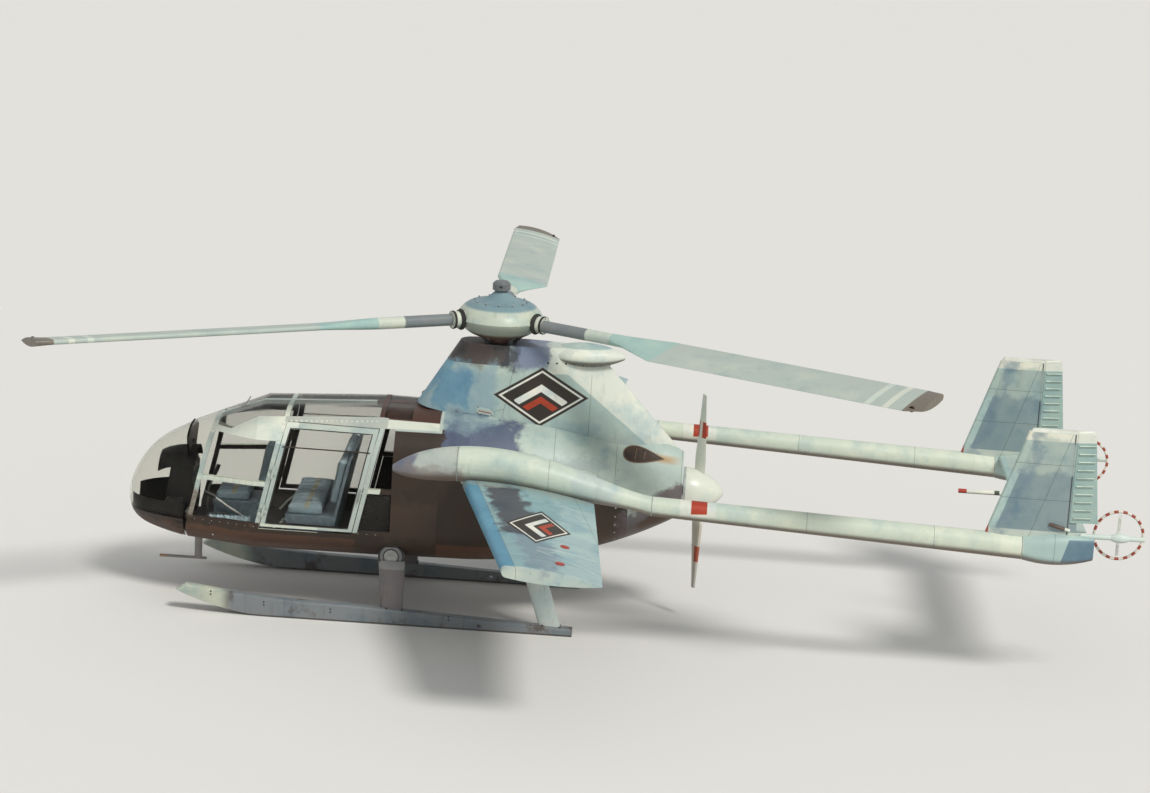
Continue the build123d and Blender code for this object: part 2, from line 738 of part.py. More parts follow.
# Propeller: two blades on a shaft, with the spinner over their roots
cowl_end = TAIL_ROWS[-1][0]
spinner_front = cowl_end - SWEEP_GAP
spinner_tail = spinner_front - SPINNER_LENGTH
with BuildPart() as propeller:
    add(rod((cowl_end + PROP_SHAFT_SOCKET - SEAT_GAP, 0, THRUST_Z), (PROP_X, 0, THRUST_Z), PROP_SHAFT_R))
    with BuildSketch(Plane(origin=(0, 0, THRUST_Z), x_dir=(1, 0, 0), z_dir=(0, -1, 0))):
        with BuildLine():
            Line((spinner_front, 0), (spinner_front, SPINNER_R))
            ThreePointArc(
                (spinner_front, SPINNER_R),
                (spinner_front - SPINNER_LENGTH * 0.55, SPINNER_R * 0.78),
                (spinner_tail, SPINNER_TIP_R),
            )
            Line((spinner_tail, SPINNER_TIP_R), (spinner_tail, 0))
            Line((spinner_tail, 0), (spinner_front, 0))
        make_face()
    revolve(axis=Axis((0, 0, THRUST_Z), (1, 0, 0)))
    for side in (-1, 1):
        for pair in zip(PROP_ROWS, PROP_ROWS[1:]):
            loft([foil(prop_plane(side, row), row[1], row[2]) for row in pair])
keep(propeller.part, "propeller")


def round_loft(rows, grow=0):
    """A round body on the boom's line through its rows' sections."""
    with BuildPart() as body:
        for x, z, radius in rows:
            with BuildSketch(Plane(origin=(x, BOOM_Y, z), x_dir=(0, 1, 0), z_dir=(-1, 0, 0))):
                Circle(radius + grow)
        loft()
    return body.part


# Boom nacelles on the wings
keep_pair(round_loft(NACELLE_ROWS), "boom_nacelle")
nacelle_clear = round_loft(NACELLE_ROWS, SEAT_GAP)


def wing_section(y):
    """The wing's section at a station: tapered outboard of the nacelle, straight inboard of it."""
    share = max(0, (y - WING_ROOT_Y) / (WING_TIP_Y - WING_ROOT_Y))
    le_x = WING_ROOT_LE_X + share * (WING_TIP_LE_X - WING_ROOT_LE_X)
    z = WING_ROOT_Z + share * (WING_TIP_Z - WING_ROOT_Z)
    chord = WING_ROOT_CHORD + share * (WING_TIP_CHORD - WING_ROOT_CHORD)
    lean = radians(WING_INCIDENCE)
    plane = Plane(origin=(le_x, y, z), x_dir=(-cos(lean), 0, -sin(lean)), z_dir=(0, 1, 0))
    return foil(plane, chord, WING_THICK_SHARE * chord, tail=2.5)


# Wings outboard of the nacelles, and the stubs that carry the nacelles from the pod
with BuildPart() as wing:
    loft([wing_section(BOOM_Y), wing_section(WING_TIP_Y)])
    add(nacelle_clear, mode=Mode.SUBTRACT)
    add(block(-FAR, FAR, 0, WING_JOINT_Y, 0, FAR), mode=Mode.SUBTRACT)
keep_pair(largest(wing.part), "wing")

with BuildPart() as wing_stub:
    loft([wing_section(WING_STUB_Y), wing_section(WING_ROOT_Y)])
    add(nacelle_clear, mode=Mode.SUBTRACT)
    add(pod_clear.part, mode=Mode.SUBTRACT)
stub = largest(wing_stub.part)
keep_pair(stub, "wing_stub")

# Tail booms: tapered tubes from the nacelles to the tail pods
boom_rows = [NACELLE_ROWS[-1], (BOOM_END_X, BOOM_END_Z, BOOM_END_R)]
with BuildPart() as boom:
    add(round_loft(boom_rows))
    add(round_loft(boom_rows, -BOOM_WALL), mode=Mode.SUBTRACT)
keep_pair(boom.part, "tail_boom")


def tail_pod_solid(grow):
    """The pod that closes a boom."""
    with BuildPart() as pod:
        for x, z, width, height, corner in TAIL_POD_ROWS:
            with BuildSketch(Plane(origin=(x, BOOM_Y, z), x_dir=(0, 1, 0), z_dir=(-1, 0, 0))):
                RectangleRounded(width + 2 * grow, height + 2 * grow, corner + grow)
        loft()
    return pod.part


# Tail pods
tail_clear = tail_pod_solid(SEAT_GAP)
keep_pair(tail_pod_solid(0), "tail_pod")


def tapered_panel(plane, length, nose, nose_half, half, rear_half):
    """A section with a round nose, two side arcs and a square back."""
    with BuildSketch(plane) as section:
        with BuildLine():
            ThreePointArc((nose, -nose_half), (0, 0), (nose, nose_half))
            ThreePointArc((nose, nose_half), (length / 2, half), (length, rear_half))
            Line((length, rear_half), (length, -rear_half))
            ThreePointArc((length, -rear_half), (length / 2, -half), (nose, -nose_half))
        make_face()
    return section.sketch


def flap_section(plane, radius, length, tail):
    """A hinged surface's section: a round nose on the hinge line and flat sides to the trailing edge."""
    with BuildSketch(plane) as section:
        with BuildLine():
            ThreePointArc((0, -radius), (-radius, 0), (0, radius))
            Line((0, radius), (length, tail))
            Line((length, tail), (length, -tail))
            Line((length, -tail), (0, -radius))
        make_face()
    return section.sketch


# Fins: they stand on the boom and its pod, with a cove for the rudder's nose
rudder_pin = ((RUDDER_HINGE_X, BOOM_Y, RUDDER_FOOT_Z - RUDDER_PIN_LENGTH), (RUDDER_HINGE_X, BOOM_Y, RUDDER_FOOT_Z))
with BuildPart() as fin:
    levels = []
    for z, le_x in ((FIN_FOOT_Z, FIN_FOOT_LE_X), (FIN_TOP_Z, FIN_TOP_LE_X)):
        level = Plane(origin=(le_x, BOOM_Y, z), x_dir=(-1, 0, 0), z_dir=(0, 0, 1))
        length = le_x - RUDDER_HINGE_X + HINGE_BLOCK
        levels.append(tapered_panel(level, length, FIN_NOSE, FIN_NOSE_HALF, FIN_THICK / 2, RUDDER_NOSE_R))
    loft(levels)
    add(
        rod(
            (RUDDER_HINGE_X, BOOM_Y, RUDDER_FOOT_Z - SWEEP_GAP),
            (RUDDER_HINGE_X, BOOM_Y, FIN_TOP_Z + SWEEP_GAP),
            RUDDER_NOSE_R + SWEEP_GAP,
        ),
        mode=Mode.SUBTRACT,
    )
    add(
        block(-FAR, RUDDER_HINGE_X, 0, FAR, RUDDER_FOOT_Z - SWEEP_GAP, FAR),
        mode=Mode.SUBTRACT,
    )
    add(tail_clear, mode=Mode.SUBTRACT)
    add(round_loft(boom_rows, SEAT_GAP), mode=Mode.SUBTRACT)
    add(
        rod(
            (RUDDER_HINGE_X, BOOM_Y, RUDDER_FOOT_Z - RUDDER_PIN_LENGTH - SEAT_GAP),
            (RUDDER_HINGE_X, BOOM_Y, RUDDER_FOOT_Z),
            RUDDER_PIN_R + PIN_GAP,
        ),
        mode=Mode.SUBTRACT,
    )
keep_pair(largest(fin.part), "fin")

# Rudders
with BuildPart() as rudder:
    levels = []
    for z, te_x in ((RUDDER_FOOT_Z, RUDDER_FOOT_TE_X), (FIN_TOP_Z, RUDDER_TOP_TE_X)):
        level = Plane(origin=(RUDDER_HINGE_X, BOOM_Y, z), x_dir=(-1, 0, 0), z_dir=(0, 0, 1))
        levels.append(flap_section(level, RUDDER_NOSE_R, RUDDER_HINGE_X - te_x, RUDDER_TAIL))
    loft(levels)
    add(rod(*rudder_pin, RUDDER_PIN_R))
keep_pair(rudder.part, "rudder")

# Tailplane between the tail pods, with the forward probe and a cove for the elevator
with BuildPart() as tailplane:
    tip = Plane(origin=(TAILPLANE_LE_X, TAILPLANE_END_Y, TAILPLANE_Z), x_dir=(-1, 0, 0), z_dir=(0, -1, 0))
    length = TAILPLANE_LE_X - ELEVATOR_HINGE_X + HINGE_BLOCK
    extrude(
        tapered_panel(tip, length, 20, 20, TAILPLANE_THICK / 2, ELEVATOR_NOSE_R),
        amount=2 * TAILPLANE_END_Y,
    )
    inner_end = ELEVATOR_HALF_SPAN + SWEEP_GAP
    add(
        rod(
            (ELEVATOR_HINGE_X, -inner_end, TAILPLANE_Z),
            (ELEVATOR_HINGE_X, inner_end, TAILPLANE_Z),
            ELEVATOR_NOSE_R + SWEEP_GAP,
        ),
        mode=Mode.SUBTRACT,
    )
    add(
        block(-FAR, ELEVATOR_HINGE_X, -inner_end, inner_end, 0, FAR),
        mode=Mode.SUBTRACT,
    )
    pin_end = ELEVATOR_HALF_SPAN + ELEVATOR_PIN_LENGTH + SEAT_GAP
    add(
        rod(
            (ELEVATOR_HINGE_X, -pin_end, TAILPLANE_Z),
            (ELEVATOR_HINGE_X, pin_end, TAILPLANE_Z),
            ELEVATOR_PIN_R + PIN_GAP,
        ),
        mode=Mode.SUBTRACT,
    )
    add(tail_clear, mode=Mode.SUBTRACT)
    add(mirror(tail_clear, about=Plane.XZ), mode=Mode.SUBTRACT)
    add(rod((PROBE_TIP_X, 0, TAILPLANE_Z), (TAILPLANE_LE_X - 60, 0, TAILPLANE_Z), PROBE_R))
keep(largest(tailplane.part), "tailplane")

with BuildPart() as elevator:
    tip = Plane(origin=(ELEVATOR_HINGE_X, ELEVATOR_HALF_SPAN, TAILPLANE_Z), x_dir=(-1, 0, 0), z_dir=(0, -1, 0))
    extrude(
        flap_section(tip, ELEVATOR_NOSE_R, ELEVATOR_HINGE_X - ELEVATOR_TE_X, ELEVATOR_TAIL),
        amount=2 * ELEVATOR_HALF_SPAN,
    )
    pin_half = ELEVATOR_HALF_SPAN + ELEVATOR_PIN_LENGTH
    add(
        rod(
            (ELEVATOR_HINGE_X, -pin_half, TAILPLANE_Z),
            (ELEVATOR_HINGE_X, pin_half, TAILPLANE_Z),
            ELEVATOR_PIN_R,
        )
    )
keep(elevator.part, "elevator")

# Tail rotor arms: a tube from the tail pod with the gearbox, and the guard ring on two brackets
with BuildPart() as arm:
    add(rod((ARM_START_X, BOOM_Y, RING_Z), (RING_X - RING_R, BOOM_Y, RING_Z), ARM_R))
    with BuildSketch(Plane(origin=(RING_X, BOOM_Y, RING_Z), x_dir=(1, 0, 0), z_dir=(0, -1, 0))):
        with BuildLine():
            ThreePointArc((-GEARBOX_HALF, 0), (0, GEARBOX_R), (GEARBOX_HALF, 0))
            Line((GEARBOX_HALF, 0), (-GEARBOX_HALF, 0))
        make_face()
    revolve(axis=Axis((RING_X, BOOM_Y, RING_Z), (1, 0, 0)))
    add(rod((RING_X, BOOM_Y, RING_Z), (RING_X, BOSS_END_Y, RING_Z), BOSS_R))
    add(tail_clear, mode=Mode.SUBTRACT)
    for side in (-1, 1):
        bracket_x = RING_X + side * RING_R
        add(rod((bracket_x, BOOM_Y, RING_Z), (bracket_x, RING_Y, RING_Z), BRACKET_R))
    with BuildSketch(Plane(origin=(RING_X + RING_R, RING_Y, RING_Z), z_dir=(0, 0, 1))):
        Circle(RING_TUBE_R)
    revolve(axis=Axis((RING_X, RING_Y, RING_Z), (0, 1, 0)))
    add(
        rod(
            (RING_X, BOSS_END_Y + TAIL_SHAFT_SOCKET, RING_Z),
            (RING_X, BOSS_END_Y - 10, RING_Z),
            TAIL_SHAFT_R + PIN_GAP,
        ),
        mode=Mode.SUBTRACT,
    )
keep_pair(largest(arm.part), "tail_rotor_arm")

# Tail rotors: a hub on a shaft, and two thin blades
with BuildPart() as tail_rotor:
    add(
        rod(
            (RING_X, BOSS_END_Y + TAIL_SHAFT_SOCKET - SEAT_GAP, RING_Z),
            (RING_X, RING_Y, RING_Z),
            TAIL_SHAFT_R,
        )
    )
    add(rod((RING_X, RING_Y + TAIL_HUB_HALF, RING_Z), (RING_X, RING_Y - TAIL_HUB_HALF, RING_Z), TAIL_HUB_R))
    for side in (-1, 1):
        with BuildSketch(Plane(origin=(RING_X, RING_Y, RING_Z), x_dir=(1, 0, 0), z_dir=(0, 0, side))):
            RectangleRounded(TAIL_BLADE_CHORD, TAIL_BLADE_THICK, TAIL_BLADE_THICK * 0.45)
        extrude(amount=TAIL_ROTOR_R)
keep_pair(tail_rotor.part, "tail_rotor")

# Skids, with a bore through each for the ground-handling axle
with BuildPart() as skid:
    with BuildSketch(Plane.XZ.offset(-(SKID_Y + SKID_WIDTH / 2))):
        with BuildLine():
            Line((SKID_TAIL_X, 0), (SKID_FLAT_X, 0))
            ThreePointArc((SKID_FLAT_X, 0), (2480, 58), (SKID_NOSE_X, SKID_NOSE_Z))
            Line((SKID_NOSE_X, SKID_NOSE_Z), (SKID_NOSE_X - 90, SKID_TOP_FRONT_Z))
            ThreePointArc((SKID_NOSE_X - 90, SKID_TOP_FRONT_Z), (2100, 195), (SKID_MID_X, SKID_TOP_MID_Z))
            Line((SKID_MID_X, SKID_TOP_MID_Z), (SKID_TAIL_X, SKID_TOP_TAIL_Z))
            Line((SKID_TAIL_X, SKID_TOP_TAIL_Z), (SKID_TAIL_X, 0))
        make_face()
    extrude(amount=SKID_WIDTH)
    long_edges = [e for e in skid.edges() if abs(e.center().Y - SKID_Y) > SKID_WIDTH / 2 - 1 and e.center().Z > 100]
    fillet(long_edges, SKID_EDGE)
    add(rod((0, SKID_Y - SKID_WIDTH, AXLE_Z), (0, SKID_Y + SKID_WIDTH, AXLE_Z), AXLE_BORE_R), mode=Mode.SUBTRACT)
keep_pair(skid.part, "skid")


def leg_solid(rows):
    """A streamlined leg between its rows' sections, cut off where the skid's sides begin."""
    with BuildPart() as leg:
        for x, y, z, length in rows:
            with BuildSketch(Plane(origin=(x, y, z), x_dir=(1, 0, 0), z_dir=(0, 0, 1))):
                Ellipse(length / 2, LEG_THICK / 2)
        loft()
        add(skid.part, mode=Mode.SUBTRACT)
        add(pod_clear.part, mode=Mode.SUBTRACT)
    return largest(leg.part)


# Legs: the front ones with the round joint housing under the pod
with BuildPart() as front_leg:
    add(leg_solid(FRONT_LEG_ROWS))
    with BuildSketch(Plane.XZ.offset(-KNUCKLE_OUT_Y)):
        with Locations((KNUCKLE_X, KNUCKLE_Z)):
            Circle(KNUCKLE_R)
    extrude(amount=KNUCKLE_OUT_Y - KNUCKLE_IN_Y)
    add(pod_clear.part, mode=Mode.SUBTRACT)
keep_pair(largest(front_leg.part), "front_leg")
keep_pair(leg_solid(REAR_LEG_ROWS), "rear_leg")

# Air-speed probe under the nose
with BuildPart() as pitot:
    add(rod((PITOT_TAIL_X, 0, PITOT_Z), (PITOT_TIP_X, 0, PITOT_Z), PITOT_R))
    with BuildSketch(Plane.XY.offset(PITOT_Z)):
        with Locations((PITOT_X, 0)):
            Ellipse(*PITOT_STRUT)
    extrude(amount=PITOT_STRUT_LENGTH)
    add(pod_clear.part, mode=Mode.SUBTRACT)
pitot_solid = Part() + pitot.part.solids().sort_by(Axis.Z)[0]
keep(pitot_solid, "pitot_probe")
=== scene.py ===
import math

import bpy
from mathutils import Matrix, Vector
from mathutils.bvhtree import BVHTree


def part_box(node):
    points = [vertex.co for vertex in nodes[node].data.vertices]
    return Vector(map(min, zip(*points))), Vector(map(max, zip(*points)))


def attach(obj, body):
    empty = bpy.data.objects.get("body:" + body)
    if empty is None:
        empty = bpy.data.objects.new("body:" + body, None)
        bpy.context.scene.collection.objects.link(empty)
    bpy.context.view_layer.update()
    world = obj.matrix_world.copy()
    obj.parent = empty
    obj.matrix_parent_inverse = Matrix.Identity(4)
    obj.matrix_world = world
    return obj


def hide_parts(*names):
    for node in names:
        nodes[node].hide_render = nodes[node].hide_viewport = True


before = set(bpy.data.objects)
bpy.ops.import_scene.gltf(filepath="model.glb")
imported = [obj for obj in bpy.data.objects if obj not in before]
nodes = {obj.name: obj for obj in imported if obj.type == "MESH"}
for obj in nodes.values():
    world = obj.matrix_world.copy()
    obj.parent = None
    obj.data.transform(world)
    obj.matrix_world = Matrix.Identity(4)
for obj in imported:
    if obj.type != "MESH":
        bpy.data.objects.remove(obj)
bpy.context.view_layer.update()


# Studio: the gyrodyne stands parked on a pale floor under a soft high lamp from the tail's port side,
# and a camera on the port side looks at it from a little above the rotor.
AIM = Vector((-0.773, 0.0, 2.186))
CAMERA_DISTANCE = 30.585
CAMERA_AZIMUTH = -1.771
CAMERA_ELEVATION = 13.522
CAMERA_ROLL = 3.306
CAMERA_LENS = 97.82
CAMERA_SENSOR = 36.0
FLOOR_HALF = 300.0
FLOOR_COLOUR = (0.80, 0.79, 0.76, 1)
SKY_COLOUR = (0.86, 0.87, 0.88, 1)
SKY_STRENGTH = 0.56
LAMP_DIRECTION = Vector((-0.42, 0.52, 0.78))
LAMP_STRENGTH = 2.0
LAMP_SOFTNESS = 14.0
LAMP_COLOUR = (1.0, 0.975, 0.93)

azimuth, elevation, roll = (math.radians(a) for a in (CAMERA_AZIMUTH, CAMERA_ELEVATION, CAMERA_ROLL))
back = Vector(
    (math.sin(azimuth) * math.cos(elevation), math.cos(azimuth) * math.cos(elevation), math.sin(elevation))
)
level_right = Vector((0, 0, 1)).cross(back).normalized()
level_up = back.cross(level_right)
view_right = math.cos(roll) * level_right + math.sin(roll) * level_up
view_up = back.cross(view_right)
lens = bpy.data.cameras.new("studio_camera")
lens.lens = CAMERA_LENS
lens.sensor_width = CAMERA_SENSOR
lens.clip_end = 1000
camera = bpy.data.objects.new("studio_camera", lens)
camera.matrix_world = Matrix.Translation(AIM + back * CAMERA_DISTANCE) @ Matrix(
    (view_right, view_up, back)
).transposed().to_4x4()
bpy.context.scene.collection.objects.link(camera)
bpy.context.scene.camera = camera

lamp_data = bpy.data.lights.new("studio_lamp", "SUN")
lamp_data.energy = LAMP_STRENGTH
lamp_data.angle = math.radians(LAMP_SOFTNESS)
lamp_data.color = LAMP_COLOUR
lamp = bpy.data.objects.new("studio_lamp", lamp_data)
lamp.rotation_mode = "QUATERNION"
lamp.rotation_quaternion = LAMP_DIRECTION.to_track_quat("Z", "Y")
bpy.context.scene.collection.objects.link(lamp)

sky = bpy.data.worlds.new("studio_sky")
sky.use_nodes = True
sky.node_tree.nodes["Background"].inputs["Color"].default_value = SKY_COLOUR
sky.node_tree.nodes["Background"].inputs["Strength"].default_value = SKY_STRENGTH
bpy.context.scene.world = sky
bpy.context.scene.view_settings.view_transform = "Standard"

floor_mesh = bpy.data.meshes.new("studio_floor")
floor_mesh.from_pydata(
    [(x * FLOOR_HALF, y * FLOOR_HALF, 0) for x, y in ((-1, -1), (1, -1), (1, 1), (-1, 1))], [], [(0, 1, 2, 3)]
)
floor_finish = bpy.data.materials.new("studio_floor")
floor_finish.use_nodes = True
floor_shader = floor_finish.node_tree.nodes["Principled BSDF"]
floor_shader.inputs["Base Color"].default_value = FLOOR_COLOUR
floor_shader.inputs["Roughness"].default_value = 0.9
floor_mesh.materials.append(floor_finish)
floor = bpy.data.objects.new("studio_floor", floor_mesh)
bpy.context.scene.collection.objects.link(floor)


# Cabin framing: riveted aluminium sheet over frames. The posts, rails and roof strips are sprayed a pale grey-green,
# the inside matt black; the tub and the rear quarters are near-black brown, partly dark paint and partly painted
# shade. The doors carry the same paint.
def lay(tree, kind, settings, *wires, **named):
    """Lays one shader node in a tree, with its sockets set or wired."""
    node = tree.nodes.new("ShaderNode" + kind)
    for key, value in settings.items():
        setattr(node, key, value)
    for socket, value in [*enumerate(wires), *named.items()]:
        if isinstance(value, bpy.types.NodeSocket):
            tree.links.new(value, node.inputs[socket])
        elif value is not None:
            node.inputs[socket].default_value = value
    return node


def reckon(tree, operation, *values):
    """One sum on numbers."""
    return lay(tree, "Math", {"operation": operation}, *values).outputs[0]


def ramp(tree, value, low, high, start=0.0, end=1.0):
    """A number led from start to end while value goes from low to high, and held outside that."""
    return lay(tree, "MapRange", {"interpolation_type": "SMOOTHSTEP"}, value, low, high, start, end).outputs[0]


def blended(tree, share, under, over, way="MIX"):
    """Two colours mixed by a share."""
    node = lay(tree, "Mix", {"data_type": "RGBA", "blend_type": way}, share)
    for index, value in ((6, under), (7, over)):
        if isinstance(value, bpy.types.NodeSocket):
            tree.links.new(value, node.inputs[index])
        else:
            node.inputs[index].default_value = (*value[:3], 1)
    return node.outputs[2]


def new_group(name, inputs, outputs):
    """A shader node group with its sockets, and the two ends inside it."""
    group = bpy.data.node_groups.new(name, "ShaderNodeTree")
    for label, kind, value in inputs:
        socket = group.interface.new_socket(label, in_out="INPUT", socket_type="NodeSocket" + kind)
        if value is not None:
            socket.default_value = value
    for label, kind in outputs:
        group.interface.new_socket(label, in_out="OUTPUT", socket_type="NodeSocket" + kind)
    return group, group.nodes.new("NodeGroupInput").outputs, group.nodes.new("NodeGroupOutput").inputs


def cloud(tree, place, scale, detail=4.0, roughness=0.55):
    """Soft random patches from 0 to 1."""
    return lay(tree, "TexNoise", {}, Vector=place, Scale=scale, Detail=detail, Roughness=roughness).outputs[0]


def parted(tree, vector):
    """The three numbers of a vector."""
    return lay(tree, "SeparateXYZ", {}, vector).outputs


def own_place(tree):
    """The surface point in the aircraft's own axes."""
    return lay(tree, "TexCoord", {}).outputs["Object"]


def new_finish(name):
    """A new material, with its node tree and its shader."""
    finish = bpy.data.materials.new(name)
    finish.use_nodes = True
    return finish, finish.node_tree, finish.node_tree.nodes["Principled BSDF"]


# Weathered paint: lighter and cooler patches, streaks that run down, and painted shade in the grime's colour where
# the surface faces down
weathered_and_shaded, given, put = new_group(
    "Weathered paint and underside shade",
    [
        ("Place", "Vector", None),
        ("Facing", "Vector", None),
        ("Paint", "Color", (0.5, 0.5, 0.5, 1)),
        ("Light tint", "Color", (1.28, 1.20, 1.12, 1)),
        ("Cool tint", "Color", (0.62, 0.76, 0.86, 1)),
        ("Grime", "Color", (0.06, 0.04, 0.03, 1)),
        ("Mottling", "Float", 0.5),
        ("Streaking", "Float", 0.2),
        ("Underside", "Float", 0.6),
        ("Gloss", "Float", 0.42),
    ],
    [("Colour", "Color"), ("Roughness", "Float"), ("Height", "Float")],
)
light_patch = ramp(weathered_and_shaded, cloud(weathered_and_shaded, given["Place"], 2.3, 7.0, 0.6), 0.46, 0.66)
moved = lay(weathered_and_shaded, "VectorMath", {"operation": "ADD"}, given["Place"], (7.3, 2.1, 4.7)).outputs[0]
cool_patch = ramp(weathered_and_shaded, cloud(weathered_and_shaded, moved, 3.1, 7.0, 0.62), 0.47, 0.68)
run_down = lay(weathered_and_shaded, "VectorMath", {"operation": "MULTIPLY"}, moved, (1.0, 1.0, 0.13)).outputs[0]
streaks = ramp(weathered_and_shaded, cloud(weathered_and_shaded, run_down, 14.0, 5.0, 0.6), 0.55, 0.75)
speckle = cloud(weathered_and_shaded, given["Place"], 60.0, 3.0)
chips = ramp(weathered_and_shaded, cloud(weathered_and_shaded, given["Place"], 33.0, 5.0, 0.7), 0.69, 0.73)
# Painted shade: surfaces that face down are darkened towards the grime colour, as far as Underside asks.
below = reckon(
    weathered_and_shaded, "MULTIPLY", ramp(weathered_and_shaded, parted(weathered_and_shaded, given["Facing"])[2], -0.2, -0.7),
    given["Underside"],
)
tone = given["Paint"]
for patch, share, over, way in (
    (light_patch, "Mottling", "Light tint", "MULTIPLY"),
    (cool_patch, "Mottling", "Cool tint", "MULTIPLY"),
    (streaks, "Streaking", "Grime", "MIX"),
    (chips, "Streaking", "Grime", "MIX"),
):
    tone = blended(weathered_and_shaded, reckon(weathered_and_shaded, "MULTIPLY", patch, given[share]), tone, given[over], way)
tone = blended(weathered_and_shaded, below, tone, given["Grime"])
weathered_and_shaded.links.new(tone, put["Colour"])
dull = reckon(weathered_and_shaded, "MULTIPLY_ADD", light_patch, 0.12, given["Gloss"])
weathered_and_shaded.links.new(reckon(weathered_and_shaded, "MULTIPLY_ADD", streaks, 0.12, dull), put["Roughness"])
weathered_and_shaded.links.new(reckon(weathered_and_shaded, "MULTIPLY_ADD", speckle, 0.25, light_patch), put["Height"])

# Sheet joint: a butt joint of two sheets and the two rows of flush heads beside it
RIVET_PITCH = 0.042
RIVET_ROW = 0.017
RIVET_R = 0.004
jointed, given, put = new_group(
    "Sheet joint",
    [("Off", "Float", 1.0), ("Run", "Float", 0.0), ("Width", "Float", 0.003)],
    [("Slit", "Float"), ("Heads", "Float")],
)
off = reckon(jointed, "ABSOLUTE", given["Off"])
step = lay(jointed, "MapRange", {}, off, reckon(jointed, "MULTIPLY", given["Width"], 0.4), given["Width"], 1.0, 0.0)
jointed.links.new(step.outputs[0], put["Slit"])
from_row = reckon(jointed, "SUBTRACT", off, RIVET_ROW)
pace = reckon(jointed, "FRACT", reckon(jointed, "DIVIDE", given["Run"], RIVET_PITCH))
from_head = reckon(jointed, "MULTIPLY", reckon(jointed, "SUBTRACT", pace, 0.5), RIVET_PITCH)
square = reckon(jointed, "MULTIPLY_ADD", from_head, from_head, reckon(jointed, "MULTIPLY", from_row, from_row))
jointed.links.new(ramp(jointed, reckon(jointed, "SQRT", square), RIVET_R * 0.5, RIVET_R, 1.0, 0.0), put["Heads"])

# Inner face: 1 where a surface of a hollow body looks in at the body's axis
lined, given, put = new_group(
    "Inner face",
    [("Place", "Vector", None), ("Facing", "Vector", None), ("Axis height", "Float", 1.3)],
    [("Inside", "Float")],
)
spot, look = parted(lined, given["Place"]), parted(lined, given["Facing"])
lift = reckon(lined, "SUBTRACT", spot[2], given["Axis height"])
outward = reckon(lined, "MULTIPLY_ADD", spot[1], look[1], reckon(lined, "MULTIPLY", lift, look[2]))
reach = reckon(lined, "SQRT", reckon(lined, "MULTIPLY_ADD", spot[1], spot[1], reckon(lined, "MULTIPLY", lift, lift)))
lined.links.new(ramp(lined, reckon(lined, "DIVIDE", outward, reach), -0.25, -0.35), put["Inside"])

ALONG, OUT, UP = (1, 0, 0), (0, 1, 0), (0, 0, 1)
RAGGED = 0.10
JOINT_END = 0.004
SLIT_DIRT, SLIT_SHARE, SLIT_DEPTH = (0.035, 0.032, 0.03), 0.62, 2.5
HEAD_DIRT, HEAD_SHARE, HEAD_RISE = (0.06, 0.06, 0.06), 0.22, 1.2


def folded_place(tree):
    """The surface point in the aircraft's own axes, with the starboard side folded onto the port side."""
    spot = parted(tree, own_place(tree))
    return lay(tree, "CombineXYZ", {}, spot[0], reckon(tree, "ABSOLUTE", spot[1]), spot[2]).outputs[0]


def run_along(tree, place, direction):
    """How far a point lies along a direction."""
    return lay(tree, "VectorMath", {"operation": "DOT_PRODUCT"}, place, direction).outputs["Value"]


def masked(tree, place, bands, soft):
    """1 inside every band, each from low to high along its direction, and 0 outside."""
    mask = None
    for direction, low, high in bands:
        run = run_along(tree, place, direction)
        for edge, start, end in ((low, 0.0, 1.0), (high, 1.0, 0.0)):
            if edge is not None:
                step = ramp(tree, run, edge - soft / 2, edge + soft / 2, start, end)
                mask = step if mask is None else reckon(tree, "MULTIPLY", mask, step)
    return mask


